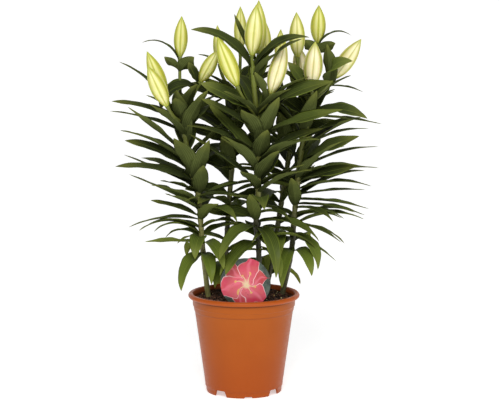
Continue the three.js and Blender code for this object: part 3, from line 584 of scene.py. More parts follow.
def peat_material():
    shader = Shader("peat")
    place = shader.object_place()
    clods = shader.noise(place, 130.0, 6.0, 0.65)
    fibres = shader.noise(place, 1.0, stretch=(260.0, 900.0, 500.0))
    tone = shader.layered(
        shader.blend(shader.spread(clods, 0.35, 0.68), srgb(24, 15, 12), srgb(66, 44, 33)),
        (shader.spread(fibres, 0.58, 0.72), 0.6, srgb(112, 78, 52)))
    shader.set(Base_Color=tone, Roughness=0.95, Specular_IOR_Level=0.2)
    shader.relief(shader.plus(clods, shader.times(fibres, 0.4)), 0.9, 0.002)
    return shader.material


def grained_material(name, first, second, scale, stretch, depth, **values):
    """Two colours that one fine grain mixes and roughens."""
    shader = Shader(name)
    grain = shader.noise(shader.object_place(), scale, stretch=stretch)
    tone = shader.blend(shader.spread(grain, 0.35, 0.65), first, second)
    shader.set(Base_Color=tone, **values)
    shader.relief(grain, *depth)
    return shader.material


def crumb_material(name, dark, light):
    return grained_material(name, dark, light, 480.0, None, (0.5, 0.0006),
                            Roughness=0.85, Specular_IOR_Level=0.25)


def bulb_material():
    return grained_material("bulb_scale", srgb(224, 208, 168), srgb(186, 152, 104), 1.0,
                            (300.0, 300.0, 60.0), (0.3, 0.0008), Roughness=0.6, Specular_IOR_Level=0.3)


def leaf_material():
    """Glossy lily leaf: parallel veins, a pale midrib and margin, a paler underside, lighter low leaves,
    painted shade at the base and painted light at the tip.
    """
    shader = Shader("lily_leaf")
    place = shader.object_place()
    reach, across, _ = shader.parts(shader.uv())
    young, under, age = shader.tones()[:3]
    from_rib = shader.math("ABSOLUTE", shader.minus(shader.times(across, 2.0), 1.0))
    cloudy = shader.noise(place, 22.0, 3.0)
    veins = shader.math("SINE", shader.times(across, 64.0))
    upper = shader.layered(
        shader.blend(shader.spread(cloudy, 0.35, 0.65), srgb(35, 42, 23), srgb(51, 59, 31)),
        (shader.spread(young, 0.3, 1.0), 0.65, srgb(88, 101, 44)),
        (age, 1.0, srgb(86, 101, 35)),
        (shader.spread(from_rib, 0.11, 0.0), 0.5, srgb(104, 116, 46)),
        (shader.spread(from_rib, 0.76, 1.0), 0.7, srgb(116, 130, 44)),
        (shader.spread(veins, 0.0, 1.0), shader.spread(age, -0.4, 1.0, 0.12, 0.34), srgb(120, 132, 54)))
    lower = shader.layered(
        shader.blend(shader.spread(veins, -0.7, 1.0), srgb(72, 80, 41), srgb(86, 94, 50)),
        (age, 0.5, srgb(118, 130, 46)))
    # Painted shade darkens the leaf towards its base by the stem.
    painted_base_shade = shader.spread(reach, 0.42, 0.04)
    # Painted light brightens the leaf towards its tip.
    painted_tip_light = shader.spread(shader.plus(reach, shader.times(cloudy, 0.3)), 0.75, 1.25)
    tone = shader.layered(
        shader.blend(under, upper, lower),
        (painted_base_shade, 0.5, srgb(26, 31, 19)),
        (painted_tip_light, 0.5, srgb(128, 132, 60)))
    mottle = shader.noise(place, 60.0, 3.0)
    roughness = shader.plus(shader.spread(mottle, 0.3, 0.7, 0.34, 0.5), shader.times(under, 0.2))
    shader.set(Base_Color=tone, Roughness=roughness, Specular_IOR_Level=0.0, Coat_Roughness=0.36,
               Coat_Weight=shader.spread(under, 1.0, 0.0, 0.0, 0.12))
    shader.relief(shader.plus(shader.times(veins, 0.5), mottle), 0.25, 0.0005)
    return shader.material


def stem_material():
    """Green stem, browner and paler towards the soil, with fine streaks and spots, and painted shade on its
    lower part.
    """
    shader = Shader("lily_stem")
    place = shader.object_place()
    _, _, height = shader.parts(place)
    streaks = shader.noise(place, 1.0, 3.0, stretch=(700.0, 700.0, 60.0))
    spots = shader.noise(place, 420.0, 3.0)
    dots = shader.times(shader.spread(spots, 0.58, 0.7), shader.spread(height, 0.55, 0.2))
    tone = shader.layered(
        shader.blend(shader.spread(height, 0.2, 0.46), srgb(136, 134, 78), srgb(96, 104, 38)),
        (shader.spread(streaks, 0.4, 0.65), 0.45, srgb(62, 46, 26)),
        (dots, 0.75, srgb(52, 34, 24)),
        (shader.spread(height, 0.47, 0.56), 1.0, srgb(106, 116, 42)),
        # Painted shade on the lower stem, as strong as the stem's shade value.
        (shader.tones()[0], shader.spread(height, 0.36, 0.28), srgb(34, 34, 22)))
    shader.set(Base_Color=tone, Roughness=0.5, Specular_IOR_Level=0.35)
    shader.relief(streaks, 0.35, 0.0006)
    return shader.material


def bud_material():
    """Closed lily bud: cream petals with a dark line in a pale band, green flanks, seams and ends."""
    shader = Shader("lily_bud")
    around, rise, _ = shader.parts(shader.uv())
    green, blush = shader.tones()[:2]
    petal = shader.math("FRACT", shader.times(around, 3.0))
    from_rib = shader.math("ABSOLUTE", shader.minus(petal, 0.5))
    streaks = shader.noise(shader.uv(), 1.0, 2.0, stretch=(34.0, 1.6, 1.0))
    patches = shader.noise(shader.object_place(), 70.0, 3.0)
    pale = shader.blend(blush, srgb(240, 236, 178), srgb(238, 230, 196))
    deep = shader.blend(blush, srgb(190, 187, 66), srgb(208, 192, 138))
    ribs = shader.spread(from_rib, 0.06, 0.0)
    crease = shader.spread(from_rib, 0.47, 0.5)
    ends = shader.math("MAXIMUM", shader.spread(rise, 0.18, 0.0), shader.spread(rise, 0.76, 1.0))
    cream = shader.layered(
        shader.blend(shader.spread(streaks, 0.35, 0.65, 0.3, 0.85), pale, deep),
        (shader.spread(patches, 0.4, 0.7), 0.35, pale),
        (green, 0.85, srgb(184, 186, 56)),
        (shader.band(from_rib, 0.04, 0.1, 0.2, 0.32), 0.45, pale),
        (shader.spread(from_rib, 0.26, 0.38), 0.6, deep),
        (ribs, 0.55, srgb(138, 142, 44)),
        (shader.spread(from_rib, 0.36, 0.46), 0.8, srgb(176, 182, 52)),
        (crease, 0.7, srgb(112, 118, 34)),
        (ends, 0.85, srgb(162, 170, 42)))
    shader.set(Base_Color=cream, Roughness=0.45, Specular_IOR_Level=0.3,
               Subsurface_Weight=0.1, Subsurface_Scale=0.003)
    shader.relief(shader.minus(shader.minus(shader.times(streaks, 0.6), ribs), crease), 0.4, 0.0009)
    return shader.material


def ring_place(shader, angle, radius, count, turn):
    """Where a point lies along and beside the nearest of some evenly turned rays."""
    step = 2 * math.pi / count
    turned = shader.math("DIVIDE", shader.minus(angle, math.radians(turn)), step)
    off = shader.times(shader.minus(shader.math("FRACT", shader.plus(turned, 10.5)), 0.5), step)
    ahead = shader.times(radius, shader.math("COSINE", off))
    aside = shader.math("ABSOLUTE", shader.times(radius, shader.math("SINE", off)))
    return ahead, aside


def petal_ring(shader, angle, radius, turn, width):
    """How far inside one of three petals a point lies: 1 on the middle line, 0 at the edge."""
    ahead, aside = ring_place(shader, angle, radius, 3, turn)
    reach = shader.math("ADD", ahead, 0.0, clamp=True)
    swell = shader.math("SINE", shader.times(shader.math("POWER", reach, 1.1), math.pi))
    half = shader.times(shader.math("POWER", shader.math("MAXIMUM", swell, 0.0), 0.55), width)
    inside = shader.minus(1.0, shader.math("DIVIDE", aside, shader.math("MAXIMUM", half, 0.01)))
    return inside, reach


def stamen_ring(shader, angle, radius):
    """Masks of six thin filaments and of the anther at the end of each."""
    ahead, aside = ring_place(shader, angle, radius, 6, 60)
    thread = shader.times(shader.spread(aside, 0.024, 0.012), shader.spread(ahead, 0.4, 0.38))
    along_anther = shader.math("DIVIDE", shader.minus(ahead, 0.41), 0.035)
    across_anther = shader.math("DIVIDE", aside, 0.075)
    far = shader.plus(shader.times(along_anther, along_anther), shader.times(across_anther, across_anther))
    return thread, shader.spread(far, 1.0, 0.6)


def label_material():
    """Glossy card printed with an open pink lily of six petals on a dark green ground."""
    shader = Shader("label_print")
    across, up, _ = shader.parts(shader.uv())
    x, y = [shader.plus(shader.minus(shader.times(given, 2.0), middle),
                        shader.spread(shader.noise(shader.uv(), scale, 1.0), 0.2, 0.8, -0.14, 0.14))
            for given, middle, scale in ((across, 0.96, 2.6), (up, 0.98, 3.3))]
    radius = shader.distance(x, y)
    angle = shader.math("ARCTAN2", y, x)
    cloudy = shader.noise(shader.uv(), 7.0)
    spots = shader.node("ShaderNodeTexVoronoi", shader.uv())
    spots.inputs["Scale"].default_value = 20.0
    art = shader.blend(shader.spread(cloudy, 0.35, 0.65), srgb(34, 46, 38), srgb(70, 84, 72))
    for turn, width, deep in ((14, 0.37, srgb(172, 40, 52)), (74, 0.43, srgb(188, 44, 74))):
        inside, reach = petal_ring(shader, angle, radius, turn, width)
        freckles = shader.times(shader.spread(spots.outputs["Distance"], 0.28, 0.18),
                                shader.spread(reach, 0.6, 0.4))
        petal = shader.layered(
            shader.blend(shader.spread(reach, 0.85, 0.1), deep, srgb(208, 90, 106)),
            (shader.spread(cloudy, 0.35, 0.75), 0.6, srgb(186, 88, 78)),
            (shader.spread(inside, 0.7, 1.0), 0.5, srgb(218, 112, 132)),
            (freckles, 0.5, srgb(136, 34, 52)),
            (shader.spread(inside, 0.08, 0.02), 1.0, srgb(226, 188, 190)))
        art = shader.blend(shader.spread(inside, -0.02, 0.02), art, petal)
    thread, anther = stamen_ring(shader, angle, radius)
    art = shader.layered(
        art,
        (shader.spread(radius, 0.26, 0.03), 1.0, srgb(218, 196, 160)),
        (thread, 1.0, srgb(208, 186, 140)),
        (anther, 1.0, srgb(206, 158, 88)),
        (shader.tones()[0], 1.0, srgb(236, 234, 228)))
    shader.set(Base_Color=art, Roughness=0.3, Specular_IOR_Level=0.5, Coat_Weight=0.3)
    shader.relief(shader.noise(shader.object_place(), 700.0, 3.0), 0.05, 0.0002)
    return shader.material


# Pot
def pot_outer_radius(height):
    rise = (height - BASE_TOP) / (COLLAR_FOOT - BASE_TOP)
    return mix(WALL_FOOT_RADIUS, WALL_TOP_RADIUS, rise)


def half_angle(width):
    return math.degrees(math.asin(width / 2 / FOOT_RADIUS))


def foot_openings():
    """Where the foot ring is cut, as (middle angle, half angle at the top, half angle below, height)."""
    for index in range(FOOT_COUNT):
        turn = FOOT_TURN + index * 360 / FOOT_COUNT
        yield (turn + 180 / FOOT_COUNT, half_angle(NOTCH_TOP_WIDTH), half_angle(NOTCH_FOOT_WIDTH),
               NOTCH_HEIGHT)
        yield turn, half_angle(ARCH_TOP_WIDTH), half_angle(ARCH_WIDTH), ARCH_HEIGHT


def foot_bottom(turn):
    """Height of the foot ring's lower edge at a turn from the front."""
    bottom = 0
    for middle, top_half, low_half, height in foot_openings():
        off = abs((turn - middle + 180) % 360 - 180)
        bottom = max(bottom, height * min(max((low_half - off) / (low_half - top_half), 0), 1))
    return bottom


def pot_turns():
    """Turns of the pot's columns: even ones, and the corners of every opening in the foot ring."""
    turns = {index * 360 / POT_SIDES for index in range(POT_SIDES)}
    for middle, top_half, low_half, _ in foot_openings():
        for off in (top_half, low_half, top_half - OPENING_EDGE, low_half + OPENING_EDGE):
            turns |= {(middle + off) % 360, (middle - off) % 360}
    ordered = sorted(turns)
    return [turn for index, turn in enumerate(ordered)
            if index == 0 or turn - ordered[index - 1] > NEAREST_TURNS]


def rounded(points, radius, steps=3):
    """Profile with each corner turned into a short arc."""
    made = [Vector(points[0])]
    for index in range(1, len(points) - 1):
        before, corner, after = (Vector(points[index + shift]) for shift in (-1, 0, 1))
        back, ahead = before - corner, after - corner
        cut = min(radius, 0.45 * back.length, 0.45 * ahead.length)
        start, end = corner + back.normalized() * cut, corner + ahead.normalized() * cut
        for step in range(steps + 1):
            share = step / steps
            made.append(start * (1 - share) ** 2 + corner * 2 * share * (1 - share) + end * share ** 2)
    made.append(Vector(points[-1]))
    return made


def pot_profile():
    """The pot's section as (radius, height): up the foot and the wall, over the rim and down inside."""
    rim_middle = POT_HEIGHT - RIM_THICKNESS / 2
    mouth = pot_outer_radius(POT_HEIGHT) - WALL + 0.6
    inner_foot = FOOT_RADIUS - FOOT_WIDTH
    floor_edge = pot_outer_radius(BASE_TOP) - WALL
    foot = [(inner_foot - 0.6, BASE_UNDERSIDE), (inner_foot, 0), (FOOT_RADIUS - 0.6, 0),
            (FOOT_RADIUS, 0.8), (FOOT_RADIUS + 0.3, 5), (FOOT_RADIUS + 0.6, FOOT_LEDGE),
            (WALL_FOOT_RADIUS, FOOT_LEDGE + 1.2), (pot_outer_radius(16), 16)]
    wall = [(pot_outer_radius(height), height) for height in range(30, COLLAR_FOOT - 5, 15)]
    collar = [(pot_outer_radius(COLLAR_FOOT - 1), COLLAR_FOOT - 1),
              (pot_outer_radius(COLLAR_FOOT) + 0.9, COLLAR_FOOT + 0.4),
              (COLLAR_RADIUS - 1, COLLAR_FOOT + 8), (COLLAR_RADIUS, COLLAR_FOOT + 9),
              (COLLAR_RADIUS + COLLAR_STEP, RIM_FOOT + 0.4), (RIM_RADIUS - RIM_ROUNDING, RIM_FOOT)]
    rim = [(RIM_RADIUS, rim_middle - 1.2), (RIM_RADIUS, rim_middle + 1.2),
           (RIM_RADIUS - RIM_ROUNDING, POT_HEIGHT), (mouth + 1, POT_HEIGHT), (mouth, POT_HEIGHT - 1.6)]
    inside = [(mix(mouth, floor_edge, share), mix(POT_HEIGHT - 1.6, BASE_TOP, share))
              for share in (0.1, 0.3, 0.6)]
    floor = [(floor_edge, BASE_TOP), (DRAIN_CIRCLE + 2 * DRAIN_RADIUS, BASE_TOP)]
    return foot, rounded(foot[-2:] + wall + collar + rim + inside + floor, CORNER_ROUNDING)


def add_drained_base(builder):
    """Close the pot's base between the shell's two open edges, with the walls of its drain holes."""
    levels = (BASE_UNDERSIDE, BASE_TOP)
    for index in range(DRAIN_COUNT):
        turn = math.radians(FOOT_TURN + index * 360 / DRAIN_COUNT)
        middle = Vector((math.cos(turn), math.sin(turn), 0)) * DRAIN_CIRCLE
        skin(builder, [[middle + level_point(DRAIN_RADIUS, angle, height) for angle in circle(DRAIN_SIDES)]
                       for height in levels])
    for height in levels:
        rims = [edge for edge in builder.edges if edge.is_boundary
                and all(abs(vert.co.z - height * MM) < 1e-6 for vert in edge.verts)]
        bmesh.ops.triangle_fill(builder, use_beauty=True, normal=(0, 0, 1), edges=rims)


def make_pot():
    foot, upper = pot_profile()
    profile = [Vector(point) for point in foot[:-1]] + upper[1:]
    turns = pot_turns()
    rows = []
    for radius, height in profile:
        ring = []
        for turn in turns:
            in_foot = radius > FOOT_RADIUS - FOOT_WIDTH - 0.5 and height < BASE_UNDERSIDE - 0.6
            lifted = max(height, foot_bottom(turn) if in_foot else 0)
            reach = radius + 0.3 * (lifted - height) / NOTCH_HEIGHT
            ring.append(level_point(reach, math.radians(turn - 90), lifted))
        rows.append(ring)
    builder = bmesh.new()
    skin(builder, rows)
    bmesh.ops.dissolve_degenerate(builder, dist=1e-6, edges=builder.edges)
    add_drained_base(builder)
    bmesh.ops.recalc_face_normals(builder, faces=builder.faces)
    piece = finish_piece("pot_shell", builder, [pot_plastic_material()], ["pot"])
    piece.modifiers.new("edges", "EDGE_SPLIT").split_angle = math.radians(SHARP_EDGE)


# Soil
def soil_relief(x, y):
    broad = math.sin(x * 0.13 + 1.1) * math.cos(y * 0.11 - 0.4)
    fine = math.sin(x * 0.41 + y * 0.23) * math.cos(y * 0.37 - x * 0.19 + 0.8)
    return LUMP_HEIGHT * (0.55 * broad + 0.45 * fine) + BACK_RISE * smooth(10, 70, y)


def soil_surface(x, y, sink_from, sink_to):
    """Height of the soil without its finest lumps. It sinks towards the wall."""
    sink = EDGE_SINK * smooth(sink_from, sink_to, math.hypot(x, y))
    return SOIL_TOP + soil_relief(x, y) * LUMPS_SEEN - sink


def make_soil():
    edge = pot_outer_radius(SOIL_TOP) - WALL - SEAT_GAP
    foot_height = BASE_TOP + SEAT_GAP
    foot_edge = pot_outer_radius(foot_height) - WALL - SEAT_GAP
    spans = [(foot_edge * 0.5, foot_height), (foot_edge, foot_height),
             (mix(foot_edge, edge, 0.5), SOIL_WAIST), (edge, SOIL_TOP - 4)]
    spans += [(edge * (1 - step / SOIL_RINGS), None) for step in range(1, SOIL_RINGS)]
    rows = [[Vector((0, 0, foot_height))]]
    for radius, height in spans:
        ring = []
        for angle in circle(SOIL_SIDES):
            x, y = radius * math.cos(angle), radius * math.sin(angle)
            top = height
            if height is None:
                rough = noise.fractal(Vector((x, y, 0)) * 0.16, 1.0, 2.1, 5)
                clod = noise.noise(Vector((x, y, 9)) * 0.35)
                top = soil_surface(x, y, edge * 0.9, edge) + ROUGH_HEIGHT * rough + CLOD_HEIGHT * clod
            ring.append(Vector((x, y, top)))
        rows.append(ring)
    rows.append([Vector((0, 0, SOIL_TOP + soil_relief(0, 0) * LUMPS_SEEN))])
    builder = bmesh.new()
    skin(builder, rows)
    bmesh.ops.recalc_face_normals(builder, faces=builder.faces)
    finish_piece("soil_bed", builder, [peat_material()], ["soil"])


def make_crumbs():
    """Loose peat clods and pale grains pressed into the soil."""
    draw = seeded_draws(CRUMB_SEED)
    clod = crumb_material("peat_clod", srgb(30, 19, 15), srgb(112, 76, 56))
    grain = crumb_material("pale_grain", srgb(196, 168, 96), srgb(232, 218, 170))
    for name, (count, sizes), material in (("peat_clods", CLODS, clod), ("pale_grains", GRAINS, grain)):
        builder = bmesh.new()
        for _ in range(count):
            reach = CRUMB_REACH * math.sqrt(next(draw))
            angle = 2 * math.pi * next(draw)
            x, y = reach * math.cos(angle), reach * math.sin(angle)
            size = mix(*sizes, next(draw))
            top = soil_surface(x, y, 74, 83)
            lump = bmesh.ops.create_icosphere(builder, subdivisions=2, radius=size * MM)["verts"]
            stretch = Vector([mix(*span, next(draw)) for span in CRUMB_STRETCHES])
            for vert in lump:
                dent = 1 + CRUMB_DENT * noise.noise(vert.co * 900 + Vector((x, y, 0)))
                vert.co = vert.co * dent * stretch + Vector((x, y, top + 0.5 * size)) * MM
        finish_piece(name, builder, [material], [])


# Stems
def stem_point(stem, height):
    points = [Vector((x, y, STEM_FOOT + index * STATION_STEP)) for index, (x, y) in enumerate(stem["axis"])]
    fraction = (height - STEM_FOOT) / (STATION_STEP * (len(points) - 1))
    return hermite(points, min(max(fraction, 0), 1))


def stalk_point(stem, bud, fraction):
    start = stem_point(stem, bud["stalk_from"])
    base, tip = Vector(bud["base"]), Vector(bud["tip"])
    heading = (tip - base).normalized()
    end = base - heading * SEAT_GAP
    bend = end - heading * STALK_BEND * (start - end).length
    return start * (1 - fraction) ** 2 + bend * 2 * (1 - fraction) * fraction + end * fraction ** 2


def tube_rows(points, radii, sides):
    rows = [[points[0]]]
    for index, (point, radius) in enumerate(zip(points, radii)):
        ahead = (points[min(index + 1, len(points) - 1)] - points[max(index - 1, 0)]).normalized()
        directions = beside(ahead)
        rows.append([round_point(point, directions, radius, angle) for angle in circle(sides)])
    return rows + [[points[-1]]]


def add_stem(builder, layers, stem, nodes_at):
    """The stem, swollen at its leaves, and its flower stalks, each with a cup for the bud."""
    def values(place, index):
        return (0.5, 0.5), (stem["shade"], 0.0, 0.0, 1.0)

    top = STEM_FOOT + STATION_STEP * (len(stem["axis"]) - 1)
    points, radii = [], []
    for step in range(STEM_STEPS + 1):
        rise = step / STEM_STEPS
        height = mix(STEM_FOOT, top, rise)
        swell = max(math.exp(-((height - node) / NODE_LENGTH) ** 2) for node in nodes_at)
        plain = mix(STEM_FOOT_RADIUS, STEM_TOP_RADIUS, (height - STEM_FOOT) / (top - STEM_FOOT))
        points.append(stem_point(stem, height))
        radii.append(plain + NODE_SWELL * swell - STEM_SLIMMER)
    skin(builder, tube_rows(points, radii, STEM_SIDES), layers, values, material_index=1)
    shares = [step / STALK_STEPS for step in range(STALK_STEPS + 1)]
    radii = [mix(STALK_RADIUS + 0.5 * (1 - share), CUP_RADIUS, smooth(0.8, 0.97, share)) for share in shares]
    for bud in stem["buds"].values():
        points = [stalk_point(stem, bud, share) for share in shares]
        skin(builder, tube_rows(points, radii, STALK_SIDES), layers, values, material_index=1)


# Leaves
def placed_leaves(stem):
    """The leaves that are placed singly."""
    for row in stem["leaves"]:
        leaf = dict(LEAF_DEFAULTS, **dict(zip(LEAF_COLUMNS, row)))
        if leaf["stalk"]:
            origin = stalk_point(stem, stem["buds"][leaf["stalk"]], leaf["root"])
        else:
            origin = stem_point(stem, leaf["root"])
        yield dict(leaf, origin=origin)


def bract_rule(stem):
    """One leaf below each flower stalk, turned as the stalk leans."""
    for bud in stem["buds"].values():
        origin = stem_point(stem, bud["stalk_from"] - BRACT_BELOW)
        outward = math.degrees(math.atan2(bud["base"][1] - origin.y, bud["base"][0] - origin.x))
        yield dict(BRACT, turn=bud.get("bract_turn", outward), origin=origin)


def leaf_rule(stem):
    """The leaves that wind up the stem by the golden angle."""
    draw = seeded_draws(stem["seed"])
    for index in range(stem["count"]):
        rise = index / (stem["count"] - 1)
        spread, sway, size, hang, twist = (next(draw) - 0.5 for _ in range(5))
        origin = stem_point(stem, mix(stem["low"], stem["high"], rise))
        turn = stem["phase"] + index * GOLDEN_ANGLE + VARIATION["turn"] * spread
        towards_light = max(-math.sin(math.radians(turn)), 0) ** 2
        light = towards_light * smooth(LIGHT["low"], LIGHT["full"], origin.z)
        length = along(LEAF_LENGTHS, rise) * stem["vigour"] * (1 + VARIATION["size"] * size)
        width = along(LEAF_WIDTHS, rise) * (1 + VARIATION["size"] * hang)
        launch = along(LEAF_LAUNCHES, rise) + VARIATION["launch"] * hang
        droop = along(LEAF_DROOPS, rise) * (1 + VARIATION["droop"] * twist)
        yield dict(
            origin=origin,
            turn=turn,
            launch=launch + LIGHT["lift"] * light,
            droop=droop * (1 - LIGHT["stiffening"] * light),
            sweep=VARIATION["sweep"] * sway,
            roll=VARIATION["roll"] * twist,
            length=length * (1 - LIGHT["shortening"] * light),
            width=width * (1 - LIGHT["narrowing"] * light),
            wave=size,
        )


def way_ahead(leaf, reach):
    rise = math.radians(leaf["launch"] - leaf["droop"] * reach ** DROOP_DELAY)
    turn = math.radians(leaf["turn"] + leaf["sweep"] * reach)
    return Vector((math.cos(rise) * math.cos(turn), math.cos(rise) * math.sin(turn), math.sin(rise))), turn


def midrib_points(leaf):
    points = [leaf["origin"].copy()]
    for step in range(MIDRIB_STEPS):
        ahead, _ = way_ahead(leaf, (step + 0.5) / MIDRIB_STEPS)
        points.append(points[-1] + ahead * (leaf["length"] / MIDRIB_STEPS))
    return points


def settled(leaf, tips):
    """The leaf as it stands on the solid plant, told by where its tip lies there."""
    for shorter in LENGTH_TRIES:
        for lift in LIFT_TRIES:
            for turn in TURN_TRIES:
                tried = dict(leaf, turn=leaf["turn"] + turn, launch=leaf["launch"] + lift,
                             length=leaf["length"] * shorter)
                if tips.find(midrib_points(tried)[-1] * MM)[2] < TIP_MATCH * MM:
                    return tried
    return None


def blade_outline(reach):
    return max(math.sin(math.pi * reach ** BLADE_BELLY), 0) ** BLADE_FULLNESS


def blade_section(leaf, centre, reach):
    """Upper and lower points from margin to margin: folded along the rib, waved, thinner outwards."""
    shifted = min(reach + 0.5 / MIDRIB_STEPS, 1)
    ahead, turn = way_ahead(leaf, shifted)
    side = Vector((-math.sin(turn), math.cos(turn), 0))
    up = ahead.cross(side)
    roll = math.radians(leaf["roll"] * shifted)
    side, up = side * math.cos(roll) + up * math.sin(roll), up * math.cos(roll) - side * math.sin(roll)
    half = leaf["width"] / 2 * blade_outline(reach)
    fold = math.radians(BLADE_FOLD - FOLD_LOST * reach)
    ripple = RIPPLE * math.sin(math.pi * (3 * reach + 2 * leaf["wave"]))
    margin = MARGIN_WAVE * math.sin(2 * math.pi * (4.5 * reach + 3 * leaf["wave"]))
    upper, lower = [], []
    for column in BLADE_COLUMNS:
        size = abs(column)
        lift = half * size * (math.sin(fold) * size ** 0.25 + ripple * column)
        lift += half * margin * size ** 3 * (1 if column > 0 else -0.8)
        middle = centre + side * column * half * math.cos(fold) + up * lift
        thick = min(BLADE_HALF_THICKNESS, half * 0.2) * (1 - size ** 2)
        rib = min(RIB_DEPTH, half * 0.2) * math.exp(-(column / RIB_WIDTH) ** 2)
        upper.append(middle + up * thick)
        lower.append(middle - up * (thick + rib))
    return upper, lower


def add_leaf(builder, layers, leaf, tone):
    points = midrib_points(leaf)
    age = 1 - smooth(OLD_LEAVES_TO, YOUNG_LEAVES_FROM, leaf["origin"].z)
    sections = []
    for step in range(BLADE_STEPS + 1):
        reach = step / BLADE_STEPS
        centre = hermite(points, reach)
        pointed = step in (0, BLADE_STEPS)
        sections.append(([centre], [centre]) if pointed else blade_section(leaf, centre, reach))

    def values(under):
        def at(place, index):
            return (place / BLADE_STEPS, (BLADE_COLUMNS[index] + 1) / 2), (tone, under, age, 1.0)
        return at

    start = len(builder.verts)
    for under, rows in enumerate(zip(*sections)):
        skin(builder, rows, layers, values(under), closed=False, flipped=under > 0)
    builder.verts.ensure_lookup_table()
    bmesh.ops.remove_doubles(builder, verts=builder.verts[start:], dist=WELD)


def make_stems():
    materials = [leaf_material(), stem_material()]
    for name, stem in STEMS.items():
        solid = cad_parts[f"stem_{name}"].data
        tips = kdtree.KDTree(len(solid.vertices))
        for index, vert in enumerate(solid.vertices):
            tips.insert(vert.co, index)
        tips.balance()
        wanted = [*placed_leaves(stem), *bract_rule(stem), *leaf_rule(stem)]
        leaves = [leaf for leaf in (settled(leaf, tips) for leaf in wanted) if leaf]
        builder, layers = new_builder()
        draw = seeded_draws(stem["seed"] + 100)
        add_stem(builder, layers, stem, [leaf["origin"].z for leaf in leaves])
        for leaf in leaves:
            add_leaf(builder, layers, leaf, next(draw))
        finish_piece(f"leafy_stem_{name}", builder, materials, [f"stem_{name}"])


# Buds
def bud_rows(bud):
    """Rings from a bud's base to its tip, with three ridges and a seam between each two."""
    base, tip = Vector(bud["base"]), Vector(bud["tip"])
    heading = tip - base
    length = heading.length
    heading.normalize()
    directions = beside(heading)
    rows = [[base]]
    for step in range(BUD_STEPS + 1):
        rise = step / BUD_STEPS
        swell = hermite(BUD_SWELL, min(rise, 0.999))
        if rise > TIP_FROM:
            swell = min(swell, 0.5 * math.sqrt((1 - rise) / TIP_BLUNTNESS) + 0.005)
        seam_depth = SEAM_DEPTH * smooth(0.02, 0.3, rise)
        middle = base + heading * (rise * length)
        ring = []
        for angle in circle(BUD_SIDES):
            wave = math.cos(3 * angle + math.pi / 2)
            off = abs((3 * angle / (2 * math.pi) - 0.25) % 1 - 0.5)
            ridge = 1 + BUD_RIDGE * wave - seam_depth * math.exp(-off ** 2 / SEAM_WIDTH)
            ring.append(round_point(middle, directions, bud["width"] / 2 * swell * ridge, angle))
        rows.append(ring)
    return rows + [[tip]]


def make_buds():
    material = bud_material()
    for stem in STEMS.values():
        for name, bud in stem["buds"].items():
            def values(place, index):
                rise = min(max((place - 1) / BUD_STEPS, 0), 1)
                return (index / BUD_SIDES - 1 / 12, rise), (bud["green"], bud["blush"], 0.0, 1.0)

            builder, layers = new_builder()
            skin(builder, bud_rows(bud), layers, values)
            bmesh.ops.recalc_face_normals(builder, faces=builder.faces)
            finish_piece(name + "_petals", builder, [material], [name])


# Label
def label_outline():
    """Outline of the round card and its pointed stake, round the card's centre."""
    half = STAKE_WIDTH / 2
    opening = math.asin(half / LABEL_RADIUS)
    for step in range(LABEL_STEPS + 1):
        angle = mix(opening - math.pi / 2, math.pi * 1.5 - opening, step / LABEL_STEPS)
        yield LABEL_RADIUS * math.cos(angle), LABEL_RADIUS * math.sin(angle)
    yield from ((-half, STAKE_TIP - STAKE_FOOT), (0, -STAKE_FOOT), (half, STAKE_TIP - STAKE_FOOT))


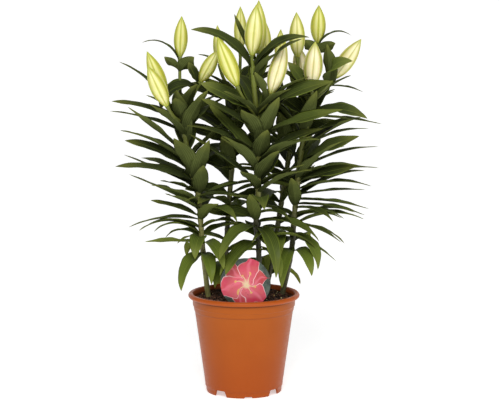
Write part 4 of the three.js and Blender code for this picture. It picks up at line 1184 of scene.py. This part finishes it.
def make_label():
    builder, (uv_layer, tone_layer) = new_builder()
    lean = math.radians(90 - LABEL_LEAN)
    outline = list(label_outline())
    places = {}
    rings = []
    for depth in (LABEL_THICKNESS / 2, -LABEL_THICKNESS / 2):
        ring = []
        for x, y in outline:
            point = Vector((x, y * math.cos(lean) - depth * math.sin(lean),
                            y * math.sin(lean) + depth * math.cos(lean))) + LABEL_CENTRE
            ring.append(builder.verts.new(point * MM))
            places[ring[-1]] = (x, y)
        rings.append(ring)
    front, back = rings
    sides = zip(front, back, back[1:] + back[:1], front[1:] + front[:1])
    for plain, corners in ((0.0, front), (1.0, back[::-1]), *((1.0, side) for side in sides)):
        for loop in builder.faces.new(corners).loops:
            x, y = places[loop.vert]
            loop[uv_layer].uv = ((x / LABEL_RADIUS + 1) / 2, (y / LABEL_RADIUS + 1) / 2)
            loop[tone_layer] = (plain, 0, 0, 1)
    bmesh.ops.recalc_face_normals(builder, faces=builder.faces)
    piece = finish_piece("label_card", builder, [label_material()], ["label"])
    for polygon in piece.data.polygons:
        polygon.use_smooth = False


def dress_bulbs():
    material = bulb_material()
    for name in STEMS:
        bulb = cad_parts[f"bulb_{name}"]
        bulb.data.materials.clear()
        bulb.data.materials.append(material)


# Studio
def make_stage():
    """A pale floor that curves up into a backdrop."""
    arc = [math.pi / 2 * step / FLOOR_CURVE_STEPS for step in range(FLOOR_CURVE_STEPS + 1)]
    section = [(FLOOR_DEPTH + FLOOR_CURVE * math.sin(angle), FLOOR_CURVE * (1 - math.cos(angle)))
               for angle in arc]
    section = [(FLOOR_FRONT, 0), *section, (FLOOR_DEPTH + FLOOR_CURVE, BACKDROP_HEIGHT)]
    builder = bmesh.new()
    skin(builder, [[Vector((x, y, z)) for x in (-FLOOR_HALF_WIDTH, FLOOR_HALF_WIDTH)] for y, z in section],
         closed=False)
    shader = Shader("pale_floor")
    shader.set(Base_Color=(0.85, 0.85, 0.85, 1), Roughness=0.9, Emission_Color=(1, 1, 1, 1),
               Emission_Strength=0.5)
    floor = mesh_object("studio_floor", builder, [shader.material])


def make_light():
    world = bpy.data.worlds.new("studio")
    bpy.context.scene.world = world
    world.use_nodes = True
    background = world.node_tree.nodes["Background"]
    background.inputs["Color"].default_value = (1, 1, 1, 1)
    background.inputs["Strength"].default_value = DAYLIGHT
    for name, place, target, size, power in LAMPS:
        lamp = bpy.data.lights.new(name, "AREA")
        lamp.size = size
        lamp.energy = power
        holder = new_object(name, lamp)
        holder.location = place
        holder.rotation_euler = (target - place).to_track_quat("-Z", "Y").to_euler()


def make_camera():
    camera = bpy.data.cameras.new("camera")
    camera.sensor_width = SENSOR_WIDTH
    camera.lens = CAMERA_LENS
    holder = new_object("camera", camera)
    holder.location = CAMERA_PLACE
    holder.rotation_euler = (math.radians(90 - CAMERA_DOWN), 0, 0)
    bpy.context.scene.camera = holder


make_stage()
make_light()
make_camera()
make_pot()
make_soil()
make_crumbs()
make_stems()
make_buds()
make_label()
dress_bulbs()
bpy.context.scene.view_settings.view_transform = "Standard"
